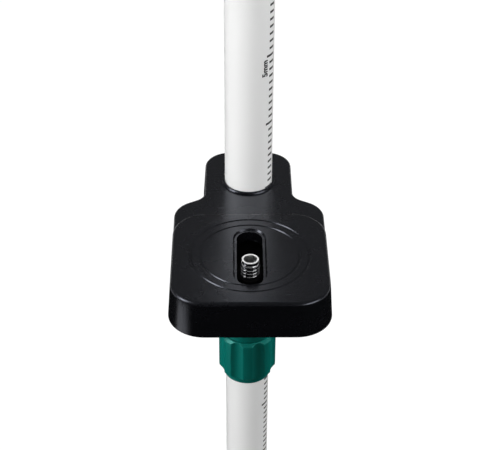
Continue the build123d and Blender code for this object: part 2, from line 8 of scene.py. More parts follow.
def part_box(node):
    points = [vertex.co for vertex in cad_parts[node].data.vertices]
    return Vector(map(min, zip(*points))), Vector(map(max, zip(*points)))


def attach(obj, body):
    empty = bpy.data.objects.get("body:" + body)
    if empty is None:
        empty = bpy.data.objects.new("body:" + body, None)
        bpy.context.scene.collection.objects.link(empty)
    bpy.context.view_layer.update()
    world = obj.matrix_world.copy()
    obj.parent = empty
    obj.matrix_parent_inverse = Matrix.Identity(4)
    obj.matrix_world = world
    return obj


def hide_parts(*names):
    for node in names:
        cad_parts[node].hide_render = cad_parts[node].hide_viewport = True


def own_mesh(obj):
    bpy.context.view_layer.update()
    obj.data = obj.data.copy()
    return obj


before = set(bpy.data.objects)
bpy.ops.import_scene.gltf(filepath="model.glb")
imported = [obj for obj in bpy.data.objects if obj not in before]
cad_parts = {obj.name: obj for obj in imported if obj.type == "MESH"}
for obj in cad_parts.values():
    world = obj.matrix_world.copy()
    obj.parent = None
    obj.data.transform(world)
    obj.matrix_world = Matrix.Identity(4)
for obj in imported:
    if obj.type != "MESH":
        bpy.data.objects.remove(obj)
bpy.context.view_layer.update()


# Rubber sole
# A cap of matt black rubber, stretched over the edge of the foot's disc.
# Its rim is moulded with fine grip ribs and its underside with two tread grooves.

MM = 0.001


def build(tree, kind, inputs=None, **settings):
    """A new node with its options set and its inputs filled by values or links."""
    made = tree.nodes.new(kind)
    for option, value in settings.items():
        setattr(made, option, value)
    for socket, value in (inputs or {}).items():
        if isinstance(value, bpy.types.NodeSocket):
            tree.links.new(value, made.inputs[socket])
        else:
            made.inputs[socket].default_value = value
    return made


def sums(tree, operation, *values):
    """A Math node's result for the given values or links."""
    made = build(tree, "ShaderNodeMath", dict(enumerate(values)), operation=operation)
    return made.outputs[0]


def mapped(tree, value, start=0.0, end=1.0, low=0.0, high=1.0):
    """A value's place between start and end, spread over the range from low to high."""
    span = {"Value": value, "From Min": start, "From Max": end, "To Min": low, "To Max": high}
    return build(tree, "ShaderNodeMapRange", span).outputs[0]


def new_group(name, kind, inputs, outputs):
    """A node group with named sockets, with its input and output nodes."""
    tree = bpy.data.node_groups.new(name, kind)
    for socket, socket_kind in inputs.items():
        tree.interface.new_socket(name=socket, in_out="INPUT", socket_type=socket_kind)
    for socket, socket_kind in outputs.items():
        tree.interface.new_socket(name=socket, in_out="OUTPUT", socket_type=socket_kind)
    return tree, tree.nodes.new("NodeGroupInput").outputs, tree.nodes.new("NodeGroupOutput")


NUMBER = "NodeSocketFloat"
WHOLE = "NodeSocketInt"
SHAPE = "NodeSocketGeometry"
FINISH = "NodeSocketMaterial"


def make_surface_grain():
    """Fine moulded grain, with slow changes of tone some fifty grains wide."""
    tree, given, result = new_group(
        "surface_grain", "ShaderNodeTree", {"Grain": NUMBER}, {"Height": NUMBER, "Tone": NUMBER}
    )
    place = build(tree, "ShaderNodeTexCoord").outputs["Object"]
    density = sums(tree, "DIVIDE", 1.0, given["Grain"])
    slow = sums(tree, "MULTIPLY", density, 0.02)
    fine = build(tree, "ShaderNodeTexNoise", {"Vector": place, "Scale": density, "Detail": 3.0})
    broad = build(tree, "ShaderNodeTexNoise", {"Vector": place, "Scale": slow, "Detail": 4.0})
    tree.links.new(fine.outputs[0], result.inputs["Height"])
    tree.links.new(broad.outputs[0], result.inputs["Tone"])
    return tree


def make_settled_dust():
    """Mask of dust that lies in patches on upward faces."""
    tree, given, result = new_group(
        "settled_dust", "ShaderNodeTree", {"Patch": NUMBER, "Amount": NUMBER}, {"Mask": NUMBER}
    )
    place = build(tree, "ShaderNodeTexCoord").outputs["Object"]
    density = sums(tree, "DIVIDE", 1.0, given["Patch"])
    patches = build(tree, "ShaderNodeTexNoise", {"Vector": place, "Scale": density, "Detail": 6.0})
    normal = build(tree, "ShaderNodeNewGeometry").outputs["Normal"]
    upward = build(tree, "ShaderNodeSeparateXYZ", {"Vector": normal}).outputs["Z"]
    lying = sums(tree, "POWER", sums(tree, "MAXIMUM", upward, 0.0), 2.0)
    cover = sums(tree, "MULTIPLY", lying, patches.outputs[0])
    tree.links.new(sums(tree, "MULTIPLY", cover, given["Amount"]), result.inputs["Mask"])
    return tree


def make_handling_marks():
    """Mask of thin, sparse rub marks left by hands and storage."""
    tree, given, result = new_group(
        "handling_marks", "ShaderNodeTree", {"Length": NUMBER, "Amount": NUMBER}, {"Mask": NUMBER}
    )
    place = build(tree, "ShaderNodeTexCoord").outputs["Object"]
    turn = (0.4, 0.9, 0.7)
    slant = build(tree, "ShaderNodeMapping", {"Vector": place, "Rotation": turn, "Scale": (1, 14, 14)})
    density = sums(tree, "DIVIDE", 1.0, given["Length"])
    streaks = build(tree, "ShaderNodeTexNoise", {"Vector": slant.outputs[0], "Scale": density, "Detail": 2.0})
    sparse = mapped(tree, streaks.outputs[0], start=0.64, end=0.74)
    tree.links.new(sums(tree, "MULTIPLY", sparse, given["Amount"]), result.inputs["Mask"])
    return tree


surface_grain = make_surface_grain()
settled_dust = make_settled_dust()
handling_marks = make_handling_marks()
DUST_COLOUR = (0.42, 0.40, 0.37, 1.0)


def placed_group(tree, group, **values):
    """A shader group placed in a material, with its own values."""
    made = build(tree, "ShaderNodeGroup", node_tree=group)
    for socket, value in values.items():
        made.inputs[socket].default_value = value
    return made.outputs


WHITE = (1, 1, 1, 1)


def new_finish(name):
    """A new material, with its node tree and its shader."""
    material = bpy.data.materials.new(name)
    material.use_nodes = True
    tree = material.node_tree
    return material, tree, tree.nodes["Principled BSDF"]


def blend(tree, share, colour, other):
    """A colour between two others."""
    return build(tree, "ShaderNodeMix", {0: share, 6: colour, 7: other}, data_type="RGBA").outputs[2]


def link_finish(tree, surface, colour, gloss, height, relief, strength):
    """Links a finish's colour, gloss and fine relief to its shader."""
    bump = build(tree, "ShaderNodeBump", {"Height": height, "Distance": relief, "Strength": strength})
    tree.links.new(colour, surface.inputs["Base Color"])
    tree.links.new(gloss, surface.inputs["Roughness"])
    tree.links.new(bump.outputs["Normal"], surface.inputs["Normal"])


def moulded_finish(name, colour, tint, roughness, spread, grain, relief, dust, marks, ior=1.5, gleam=WHITE):
    """Moulded plastic or rubber: grained, uneven in tone and gloss, rubbed and dusty."""
    material, tree, surface = new_finish(name)
    grained = placed_group(tree, surface_grain, Grain=grain)
    dusty = placed_group(tree, settled_dust, Patch=0.011, Amount=dust)["Mask"]
    rubbed = placed_group(tree, handling_marks, Length=0.02, Amount=marks)["Mask"]
    body = blend(tree, grained["Tone"], colour, tint)
    dusted = blend(tree, dusty, body, DUST_COLOUR)
    gloss = mapped(tree, grained["Tone"], low=roughness - spread, high=roughness + spread)
    gloss = sums(tree, "ADD", gloss, sums(tree, "ADD", dusty, rubbed))
    link_finish(tree, surface, dusted, gloss, grained["Height"], relief, strength=0.5)
    surface.inputs["IOR"].default_value = ior
    surface.inputs["Specular Tint"].default_value = gleam
    return material


CORNER_SHARE = 0.4


def rounded(outline, radius, closed):
    """An outline with each corner replaced by a short curve."""
    points = [Vector(point[:2]) for point in outline]
    count = len(points)
    soft = []
    for index, point in enumerate(points):
        sides = outline[index][2:]
        if not closed and index in (0, count - 1):
            soft.append((*point, *sides))
            continue
        before = points[index - 1] - point
        after = points[(index + 1) % count] - point
        reach = min(radius, CORNER_SHARE * before.length, CORNER_SHARE * after.length)
        start = point + before.normalized() * reach
        end = point + after.normalized() * reach
        for share in (0.0, 0.25, 0.5, 0.75, 1.0):
            near = start.lerp(point, share)
            far = point.lerp(end, share)
            soft.append((*near.lerp(far, share), *sides))
    return soft


def polygon_reach(angle, sides):
    """How much further out a polygon lies than its inscribed circle, with a flat to the front."""
    share = 2 * math.pi / sides
    off_flat = (angle + math.pi / 2 + share / 2) % share - share / 2
    return 1 / math.cos(off_flat)


def placed(name, data):
    """An object at the origin, in the scene."""
    piece = bpy.data.objects.new(name, data)
    bpy.context.scene.collection.objects.link(piece)
    return piece


def shown(name, shape):
    """A smooth shaded object for a shape, which is used up."""
    mesh = bpy.data.meshes.new(name)
    shape.to_mesh(mesh)
    shape.free()
    mesh.shade_smooth()
    return placed(name, mesh)


def turned(name, outline, closed, segments):
    """A round piece on the pole's axis, from its half-section in millimetres."""
    shape = bmesh.new()
    rings = []
    for radius, height, *sides in outline:
        count = segments if radius > 0 else 1
        ring = []
        for step in range(count):
            angle = 2 * math.pi * step / segments
            reach = radius * polygon_reach(angle, sides[0]) if sides else radius
            spot = (reach * math.cos(angle), reach * math.sin(angle), height)
            ring.append(shape.verts.new(Vector(spot) * MM))
        rings.append(ring)
    following = rings[1:] + rings[:1] if closed else rings[1:]
    for low, high in zip(rings, following):
        for step in range(segments):
            border = ((low, step), (low, step + 1), (high, step + 1), (high, step))
            corners = [ring[place % len(ring)] for ring, place in border]
            shape.faces.new(list(dict.fromkeys(corners)))
    bmesh.ops.recalc_face_normals(shape, faces=shape.faces)
    return shown(name, shape)


def crisp(piece):
    """Keeps broad faces flat beside narrow rounded edges."""
    piece.modifiers.new("crisp", "WEIGHTED_NORMAL").weight = 100
    return piece


def applied(piece, modifier):
    """Makes a modifier's result the piece's own plain mesh."""
    evaluated = piece.evaluated_get(bpy.context.evaluated_depsgraph_get())
    mesh = bpy.data.meshes.new_from_object(evaluated)
    piece.modifiers.remove(modifier)
    piece.data = mesh
    return piece


def grow(piece, tree, material, **sizes):
    """Runs a geometry tree on a piece, with its named sizes, and keeps the plain mesh."""
    grower = piece.modifiers.new(tree.name, "NODES")
    grower.node_group = tree
    sizes["Material"] = material
    for socket in tree.interface.items_tree:
        if socket.in_out == "INPUT" and socket.name in sizes:
            grower[socket.identifier] = sizes[socket.name]
    applied(piece, grower).data.shade_smooth()
    return piece


def shape_tree(name, *sizes, **others):
    """A geometry tree that takes a shape, named sizes and a material, and gives a shape."""
    sockets = {"Geometry": SHAPE, **dict.fromkeys(sizes, NUMBER), **others, "Material": FINISH}
    return new_group(name, "GeometryNodeTree", sockets, {"Geometry": SHAPE})


def end_tree(tree, shape, given, result):
    """Ends a geometry tree in one plain mesh of the given material."""
    whole = build(tree, "GeometryNodeRealizeInstances", {0: shape}).outputs[0]
    dyed = build(tree, "GeometryNodeSetMaterial", {"Geometry": whole, "Material": given["Material"]})
    tree.links.new(dyed.outputs[0], result.inputs[0])


def vector(tree, x=0.0, y=0.0, z=0.0):
    """A vector from its coordinates."""
    return build(tree, "ShaderNodeCombineXYZ", {0: x, 1: y, 2: z}).outputs[0]


def point_axes(tree):
    """The coordinates of each point of a shape."""
    spot = build(tree, "GeometryNodeInputPosition").outputs[0]
    return build(tree, "ShaderNodeSeparateXYZ", {0: spot}).outputs


def moved(tree, shape, x, y, z):
    """The shape with its points at new coordinates."""
    spots = {"Geometry": shape, "Position": vector(tree, x, y, z)}
    return build(tree, "GeometryNodeSetPosition", spots).outputs[0]


def round_axis(tree):
    """A point's coordinates and its distance from the axis."""
    axes = point_axes(tree)
    squares = sums(tree, "ADD", sums(tree, "POWER", axes[0], 2.0), sums(tree, "POWER", axes[1], 2.0))
    return axes, sums(tree, "MAXIMUM", sums(tree, "SQRT", squares), 1e-6)


def drawn_in(tree, shape, axes, share):
    """The shape with each point drawn towards the axis, to a share of its distance."""
    across = sums(tree, "MULTIPLY", axes[0], share)
    along = sums(tree, "MULTIPLY", axes[1], share)
    return moved(tree, shape, across, along, axes[2])


def make_flutes_tree():
    """Presses round flutes into a turned piece, evenly round the axis."""
    sizes = ("Outer radius", "Cutter radius", "Depth", "Turn", "Softness")
    tree, given, result = shape_tree("flutes", *sizes, Flutes=WHOLE)
    axes, radius = round_axis(tree)
    angle = sums(tree, "SUBTRACT", sums(tree, "ARCTAN2", axes[1], axes[0]), given["Turn"])
    half_share = sums(tree, "DIVIDE", math.pi, given["Flutes"])
    off_flute = sums(tree, "WRAP", angle, half_share, sums(tree, "MULTIPLY", half_share, -1.0))
    outside = sums(tree, "ADD", given["Outer radius"], given["Cutter radius"])
    centre = sums(tree, "SUBTRACT", outside, given["Depth"])
    across = sums(tree, "POWER", sums(tree, "MULTIPLY", centre, sums(tree, "SINE", off_flute)), 2.0)
    under_root = sums(tree, "SUBTRACT", sums(tree, "POWER", given["Cutter radius"], 2.0), across)
    chord = sums(tree, "SQRT", sums(tree, "MAXIMUM", under_root, 0.0))
    limit = sums(tree, "SUBTRACT", sums(tree, "MULTIPLY", centre, sums(tree, "COSINE", off_flute)), chord)
    pressed = sums(tree, "SMOOTH_MIN", radius, limit, given["Softness"])
    cut = drawn_in(tree, given["Geometry"], axes, sums(tree, "DIVIDE", pressed, radius))
    end_tree(tree, cut, given, result)
    return tree


def stand_for(piece, body, slot, *nodes):
    """The piece rides on a body and stands for the named nodes, which are hidden. Its slot is not used."""
    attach(piece, body)
    if nodes:
        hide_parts(*nodes)
    return piece


def levels(node):
    """Lowest and highest point of a node in millimetres."""
    low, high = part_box(node)
    return low.z / MM, high.z / MM


def half_width(node):
    """Half of a node's width across the pole in millimetres."""
    low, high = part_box(node)
    return (high.x - low.x) / 2 / MM


flutes = make_flutes_tree()


def fluted(piece, material, count, radius, cutter, depth, softness, turn=0.0):
    """A turned piece with flutes pressed into it, all sizes in millimetres."""
    sizes = {"Outer radius": radius, "Cutter radius": cutter, "Depth": depth, "Softness": softness}
    sizes = {socket: size * MM for socket, size in sizes.items()}
    return crisp(grow(piece, flutes, material, Flutes=count, Turn=turn, **sizes))


rubber = moulded_finish(
    "rubber",
    colour=(0.012, 0.012, 0.012, 1),
    tint=(0.026, 0.026, 0.025, 1),
    roughness=0.72,
    spread=0.12,
    grain=0.0006,
    relief=0.00006,
    dust=0.3,
    marks=0.12,
)
SOLE_RIM = 2.5
SOLE_THICKNESS = 5.0
SOLE_EDGE = 0.8
RIM_RIBS = 72
SOLE_GROOVES = (14.0, 26.0)
GROOVE_WIDTH = 3.0
GROOVE_DEPTH = 1.2
sole_bottom, sole_top = levels("foot_pad")
sole_r = half_width("foot_pad")
sole_outline = [(0, sole_bottom)]
for groove in SOLE_GROOVES:
    sole_outline.append((groove, sole_bottom))
    sole_outline.append((groove, sole_bottom + GROOVE_DEPTH))
    sole_outline.append((groove + GROOVE_WIDTH, sole_bottom + GROOVE_DEPTH))
    sole_outline.append((groove + GROOVE_WIDTH, sole_bottom))
sole_outline += [
    (sole_r, sole_bottom),
    (sole_r, sole_top),
    (sole_r - SOLE_RIM, sole_top),
    (sole_r - SOLE_RIM, sole_bottom + SOLE_THICKNESS),
    (0, sole_bottom + SOLE_THICKNESS),
]
sole_outline = rounded(sole_outline, SOLE_EDGE, closed=False)
sole = turned("rubber_sole", sole_outline, closed=False, segments=432)
fluted(sole, rubber, RIM_RIBS, sole_r, cutter=1.1, depth=0.6, softness=0.3)
stand_for(sole, "pole", "rubber", "foot_pad")


# Foot
# A black nylon moulding: a disc with a socket for the tube and six ribs between them.
# Three domed screws go through the socket into the tube.

black_plastic = moulded_finish(
    "black_plastic",
    colour=(0.0012, 0.0013, 0.0018, 1),
    tint=(0.0017, 0.0018, 0.0024, 1),
    roughness=0.27,
    spread=0.03,
    grain=0.0004,
    relief=0.000012,
    dust=0.001,
    marks=0.006,
    ior=1.74,
    gleam=(0.82, 0.86, 1.0, 1),
)


def softened(node, name, edge_width):
    """A node's own solid with whole faces and finely rounded edges."""
    shape = bmesh.new()
    shape.from_mesh(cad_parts[node].data)
    bmesh.ops.remove_doubles(shape, verts=shape.verts, dist=0.002 * MM)
    flat = math.radians(0.5)
    bmesh.ops.dissolve_limit(shape, angle_limit=flat, verts=shape.verts, edges=shape.edges)
    piece = shown(name, shape)
    layers = piece.data.attributes
    for layer in ("custom_normal", "sharp_edge", "sharp_face"):
        if layer in layers:
            layers.remove(layers[layer])
    edge = piece.modifiers.new("edge", "BEVEL")
    edge.width = edge_width * MM
    edge.segments = 2
    edge.limit_method = "ANGLE"
    edge.angle_limit = math.radians(28)
    edge.harden_normals = True
    return piece


def dressed(piece, material):
    """The piece with one material all over."""
    piece.data.materials.clear()
    piece.data.materials.append(material)
    return piece


def cad_piece(node, name, material, body, slot, edge_width):
    """A piece that keeps its node's own solid, with rounded edges and one material."""
    return stand_for(dressed(softened(node, name, edge_width), material), body, slot, node)


def metal_finish(name, colour, tint, roughness, spread, grain, relief, marks):
    """Plated metal: uneven in gloss and finely rubbed."""
    material, tree, surface = new_finish(name)
    grained = placed_group(tree, surface_grain, Grain=grain)
    rubbed = placed_group(tree, handling_marks, Length=0.006, Amount=marks)["Mask"]
    body = blend(tree, grained["Tone"], colour, tint)
    gloss = mapped(tree, grained["Tone"], low=roughness - spread, high=roughness + spread)
    gloss = sums(tree, "ADD", gloss, rubbed)
    link_finish(tree, surface, body, gloss, grained["Height"], relief, strength=0.4)
    surface.inputs["Metallic"].default_value = 1.0
    return material


zinc = metal_finish(
    "zinc_plate",
    colour=(0.50, 0.50, 0.49, 1),
    tint=(0.64, 0.63, 0.60, 1),
    roughness=0.30,
    spread=0.08,
    grain=0.0003,
    relief=0.000006,
    marks=0.15,
)


RECESS_TAPER = 0.35
RECESS_BAR = 0.55


def cross_screw(name, outline, recess_r, recess_depth):
    """One screw, head up, with a tapered cross recess in its head."""
    screw = turned(name, rounded(outline, radius=0.25, closed=False), closed=False, segments=40)
    cross = bmesh.new()
    top = max(height for radius, height, *sides in outline)
    for turn in (0, math.pi / 2):
        bar = bmesh.ops.create_cube(cross, size=1.0)["verts"]
        for corner in bar:
            taper = 1.0 if corner.co.z > 0 else RECESS_TAPER
            across = corner.co.x * 2 * recess_r * taper
            along = corner.co.y * RECESS_BAR * recess_r * taper
            height = top + recess_depth if corner.co.z > 0 else top - recess_depth
            corner.co = Matrix.Rotation(turn, 3, "Z") @ Vector((across, along, height)) * MM
    cutter = shown("cross", cross)
    cut = screw.modifiers.new("cross", "BOOLEAN")
    cut.object = cutter
    cut.use_self = True
    applied(screw, cut)
    bpy.data.objects.remove(cutter)
    return screw


def make_screw_tree():
    """Sets one screw at every point, turned to face the way that the point says."""
    tree, given, result = shape_tree("screw_pattern", Screw="NodeSocketObject")
    screw = build(tree, "GeometryNodeObjectInfo", {"Object": given["Screw"]}).outputs["Geometry"]
    facing = build(tree, "GeometryNodeInputNamedAttribute", {"Name": "facing"}, data_type="FLOAT_VECTOR")
    turn = build(tree, "FunctionNodeAlignRotationToVector", {"Vector": facing.outputs[0]}, axis="Z")
    points = {"Points": given["Geometry"], "Instance": screw, "Rotation": turn.outputs[0]}
    group = build(tree, "GeometryNodeInstanceOnPoints", points).outputs[0]
    end_tree(tree, group, given, result)
    return tree


def screw_group(name, screw, seats, body, node):
    """A node's like screws at their seats, given as places and the ways that they face."""
    mesh = bpy.data.meshes.new(name)
    mesh.from_pydata([Vector(place) * MM for place, way in seats], [], [])
    facing = mesh.attributes.new("facing", "FLOAT_VECTOR", "POINT")
    for index, (place, way) in enumerate(seats):
        facing.data[index].vector = way
    group = grow(placed(name, mesh), screw_pattern, zinc, Screw=screw)
    bpy.data.objects.remove(screw)
    group.data.set_sharp_from_angle(angle=math.radians(35))
    return stand_for(group, body, "steel", node)


screw_pattern = make_screw_tree()
SOCKET_R = 20.5
FOOT_SCREW_HEIGHT = 42.0
FOOT_SCREW_OUTLINE = [(0, -5.7), (2.5, -5.7), (2.5, 0), (4, 0), (4, 0.6), (3.2, 1.35), (1.8, 1.6), (0, 1.6)]
cad_piece("foot_body", "foot_moulding", black_plastic, "pole", "black_plastic", edge_width=0.5)
foot_seats = []
for step in range(3):
    angle = 2 * math.pi * step / 3
    way = Vector((math.cos(angle), math.sin(angle), 0))
    foot_seats.append((way * SOCKET_R + Vector((0, 0, FOOT_SCREW_HEIGHT)), way))
foot_screw = cross_screw("foot_screw", FOOT_SCREW_OUTLINE, recess_r=1.9, recess_depth=0.9)
screw_group("foot_screw_heads", foot_screw, foot_seats, "pole", "foot_screws")


# Lower tube
# Drawn aluminium tube with a smooth coat of white enamel. A scale of five-millimetre
# divisions is printed on it in black, with a long line at every tenth and one legend.


def dense(outline, step, closed):
    """An outline with points added so that none of its runs is longer than a step."""
    filled = []
    following = outline[1:] + outline[:1] if closed else outline[1:]
    for start, end in zip(outline, following):
        run = math.dist(start[:2], end[:2])
        pieces = max(1, math.ceil(run / step))
        for piece in range(pieces):
            share = piece / pieces
            spot = Vector(start[:2]).lerp(Vector(end[:2]), share)
            filled.append((*spot, *start[2:]))
    if not closed:
        filled.append(outline[-1])
    return filled


def enamel_finish(name, colour, tint):
    """White enamel: smooth, faintly rippled and slightly uneven in tone."""
    material, tree, surface = new_finish(name)
    ripple = placed_group(tree, surface_grain, Grain=0.0016)
    rubbed = placed_group(tree, handling_marks, Length=0.03, Amount=0.06)["Mask"]
    body = blend(tree, ripple["Tone"], colour, tint)
    gloss = sums(tree, "ADD", mapped(tree, ripple["Tone"], low=0.30, high=0.38), rubbed)
    link_finish(tree, surface, body, gloss, ripple["Height"], relief=0.00001, strength=0.3)
    return material


def wrap_on_tube(tree, flat, radius):
    """Bends flat print round a tube: X is the angle from the front, Y the depth, Z the height."""
    axes = point_axes(tree)
    reach = sums(tree, "SUBTRACT", radius, axes[1])
    across = sums(tree, "MULTIPLY", reach, sums(tree, "SINE", axes[0]))
    forward = sums(tree, "MULTIPLY", sums(tree, "MULTIPLY", reach, sums(tree, "COSINE", axes[0])), -1.0)
    return moved(tree, flat, across, forward, axes[2])


def make_scale_tree():
    """Printed lines up a tube: one at every division and a longer one at every tenth."""
    sizes = ("Tube radius", "Film", "First", "Division", "Line width", "Short start", "Long start", "End")
    tree, given, result = shape_tree("printed_scale", *sizes, Lines=WHOLE, **{"Long every": WHOLE})
    first = vector(tree, z=given["First"])
    step = vector(tree, z=given["Division"])
    row = {"Count": given["Lines"], "Start Location": first, "Offset": step}
    points = build(tree, "GeometryNodeMeshLine", row).outputs[0]
    index = build(tree, "GeometryNodeInputIndex").outputs[0]
    short = sums(tree, "MODULO", index, given["Long every"])
    joined = build(tree, "GeometryNodeJoinGeometry")
    kinds = ((short, "Short start"), (sums(tree, "SUBTRACT", 1.0, short), "Long start"))
    for chosen, start in kinds:
        span = sums(tree, "SUBTRACT", given["End"], given[start])
        middle = sums(tree, "MULTIPLY", sums(tree, "ADD", given["End"], given[start]), 0.5)
        size = vector(tree, span, given["Film"], given["Line width"])
        bar = {"Size": size, "Vertices X": 13, "Vertices Y": 2, "Vertices Z": 2}
        bar = build(tree, "GeometryNodeMeshCube", bar).outputs[0]
        shift = {"Geometry": bar, "Translation": vector(tree, middle)}
        bar = build(tree, "GeometryNodeTransform", shift).outputs[0]
        lines = {"Points": points, "Selection": chosen, "Instance": bar}
        lines = build(tree, "GeometryNodeInstanceOnPoints", lines)
        tree.links.new(lines.outputs[0], joined.inputs[0])
    whole = build(tree, "GeometryNodeRealizeInstances", {0: joined.outputs[0]}).outputs[0]
    end_tree(tree, wrap_on_tube(tree, whole, given["Tube radius"]), given, result)
    return tree


def make_legend_tree():
    """A printed legend that reads up the tube."""
    sizes = ("Letter size", "Weight", "Tube radius", "Film", "Foot", "Base line")
    tree, given, result = shape_tree("printed_legend", *sizes, Legend="NodeSocketString")
    text = {"String": given["Legend"], "Size": given["Letter size"]}
    letters = build(tree, "GeometryNodeStringToCurves", text).outputs[0]
    letters = build(tree, "GeometryNodeRealizeInstances", {0: letters}).outputs[0]
    outlines = build(tree, "GeometryNodeResampleCurve", {"Curve": letters}, mode="EVALUATED").outputs[0]
    aside = build(tree, "GeometryNodeInputNormal").outputs[0]
    aside = build(tree, "ShaderNodeVectorMath", {0: aside, "Scale": given["Weight"]}, operation="SCALE")
    bold = {"Geometry": outlines, "Offset": aside.outputs[0]}
    bold = build(tree, "GeometryNodeSetPosition", bold).outputs[0]
    filled = build(tree, "GeometryNodeFillCurve", {"Curve": bold}).outputs[0]
    fine = build(tree, "GeometryNodeSubdivideMesh", {"Mesh": filled, "Level": 2}).outputs[0]
    lift = {"Mesh": fine, "Offset Scale": given["Film"], "Individual": False}
    raised = build(tree, "GeometryNodeExtrudeMesh", lift).outputs[0]
    axes = point_axes(tree)
    rise = sums(tree, "DIVIDE", axes[1], given["Tube radius"])
    angle = sums(tree, "SUBTRACT", given["Base line"], rise)
    depth = sums(tree, "MULTIPLY", axes[2], -1.0)
    height = sums(tree, "ADD", given["Foot"], axes[0])
    stood = moved(tree, raised, angle, depth, height)
    end_tree(tree, wrap_on_tube(tree, stood, given["Tube radius"]), given, result)
    return tree


def printed(name, tree, **sizes):
    """A print on the lower tube, from its tree."""
    piece = grow(placed(name, bpy.data.meshes.new(name)), tree, scale_ink, **sizes)
    piece.data.set_sharp_from_angle(angle=math.radians(35))
    return stand_for(piece, "pole", "white_paint")


white_enamel = enamel_finish("white_enamel", colour=(0.845, 0.848, 0.845, 1), tint=(0.875, 0.876, 0.872, 1))
scale_ink = moulded_finish(
    "scale_ink",
    colour=(0.006, 0.006, 0.007, 1),
    tint=(0.022, 0.022, 0.023, 1),
    roughness=0.5,
    spread=0.1,
    grain=0.0003,
    relief=0.000004,
    dust=0.0,
    marks=0.1,
)
TUBE_WALL = 1.5
FILM = 0.02
DIVISION = 5.0
LONG_EVERY = 10
LINE_WIDTH = 1.6
FIRST_LONG_LINE = 78.77
SHORT_LINE_START = math.radians(53)
LONG_LINE_START = math.radians(44)
LINE_END = math.radians(71)
LEGEND_FOOT = 514.6
LEGEND_BASE_LINE = math.radians(46)
LETTER_SIZE = 5.9
LETTER_WEIGHT = 0.3
tube_bottom, tube_top = levels("lower_tube")
tube_r = half_width("lower_tube")
tube_outline = [
    (tube_r, tube_bottom),
    (tube_r, tube_top),
    (tube_r - TUBE_WALL, tube_top),
    (tube_r - TUBE_WALL, tube_bottom),
]
tube_outline = dense(rounded(tube_outline, radius=0.4, closed=True), step=60, closed=True)
tube = crisp(dressed(turned("lower_tube_enamel", tube_outline, closed=True, segments=144), white_enamel))
stand_for(tube, "pole", "white_paint", "lower_tube")
scale_top = levels("lower_lock_sleeve")[0]
line_count = int((scale_top - FIRST_LONG_LINE) / DIVISION)
on_tube = {"Tube radius": tube_r * MM, "Film": FILM * MM}
printed(
    "scale_lines",
    make_scale_tree(),
    **on_tube,
    **{"First": FIRST_LONG_LINE * MM, "Division": DIVISION * MM, "Lines": line_count},
    **{"Long every": LONG_EVERY, "Line width": LINE_WIDTH * MM, "End": LINE_END},
    **{"Short start": SHORT_LINE_START, "Long start": LONG_LINE_START},
)
printed(
    "scale_legend",
    make_legend_tree(),
    **on_tube,
    **{"Legend": "5mm", "Letter size": LETTER_SIZE * MM, "Weight": LETTER_WEIGHT * MM},
    **{"Foot": LEGEND_FOOT * MM, "Base line": LEGEND_BASE_LINE},
)


# Lower twist lock
# A black sleeve fixed on the tube's end, a split nylon collet inside, and a fluted green nut
# that screws down over both and closes the collet on the middle tube.

green_plastic = moulded_finish(
    "green_plastic",
    colour=(0.0012, 0.188, 0.156, 1),
    tint=(0.0016, 0.212, 0.176, 1),
    roughness=0.32,
    spread=0.02,
    grain=0.0005,
    relief=0.000006,
    dust=0.004,
    marks=0.015,
    ior=1.6,
    gleam=(0.35, 1.0, 0.9, 1),
)
nylon = moulded_finish(
    "nylon",
    colour=(0.70, 0.68, 0.62, 1),
    tint=(0.76, 0.74, 0.69, 1),
    roughness=0.45,
    spread=0.06,
    grain=0.0005,
    relief=0.00001,
    dust=0.0,
    marks=0.08,
)
NUT_WALL = 5.1
NUT_CHAMFER = 2.2
NUT_LOBE_END = 33.4
NUT_SLOPE_END = 35.6
NUT_END = 40.0
NUT_RING_WALL = 1.4
THREAD_WALL = 1.65
CONE_START = 20.5
CONE_END = 32.8
CONE_HEAD_WALL = 1.35
CONE_TIP_WALL = 0.86
RUN_GAP = 0.3
NUT_EDGE = 0.35
NUT_FLUTES = 8
FLUTE_R = 8.4
FLUTE_DEPTH = 2.0
FLUTE_TURN = math.radians(22.5)


def twist_nut(name, node, carrier_r, moving_r, open_end, way):
    """Fluted nut, drawn from its open end along the pole."""
    nut_r = carrier_r + NUT_WALL
    outside = [
        (carrier_r + THREAD_WALL, 0),
        (nut_r - NUT_CHAMFER, 0),
        (nut_r, NUT_CHAMFER),
        (nut_r, NUT_LOBE_END),
        (moving_r + NUT_RING_WALL, NUT_SLOPE_END),
        (moving_r + NUT_RING_WALL, NUT_END),
    ]
    inside = [
        (moving_r + RUN_GAP, NUT_END),
        (moving_r + RUN_GAP, CONE_END),
        (moving_r + CONE_TIP_WALL, CONE_END),
        (carrier_r + CONE_HEAD_WALL, CONE_START),
        (carrier_r + THREAD_WALL, CONE_START),
    ]
    outline = dense(rounded(outside + inside, NUT_EDGE, closed=True), step=0.5, closed=True)
    outline = [(radius, open_end + way * along) for radius, along in outline]
    nut = turned(name, outline, closed=True, segments=320)
    fluted(nut, green_plastic, NUT_FLUTES, nut_r, FLUTE_R, FLUTE_DEPTH, softness=0.15, turn=FLUTE_TURN)
    return stand_for(nut, node, "green_plastic", node)


def finish_nodes(material, *nodes):
    """Gives CAD nodes their finish."""
    for node in nodes:
        dressed(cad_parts[node], material)


middle_r = half_width("middle_tube")
upper_r = half_width("upper_tube")
cad_piece("lower_lock_sleeve", "lower_sleeve", black_plastic, "pole", "black_plastic", edge_width=0.35)
finish_nodes(nylon, "lower_lock_collet")
twist_nut("lower_nut", "lower_lock_nut", tube_r, middle_r, levels("lower_lock_nut")[0], 1)


# Middle tube and its lock
# A thinner enamelled tube that slides in the lower one on a nylon bush.
# Its upper end carries a twist lock of the same kind, one size smaller.

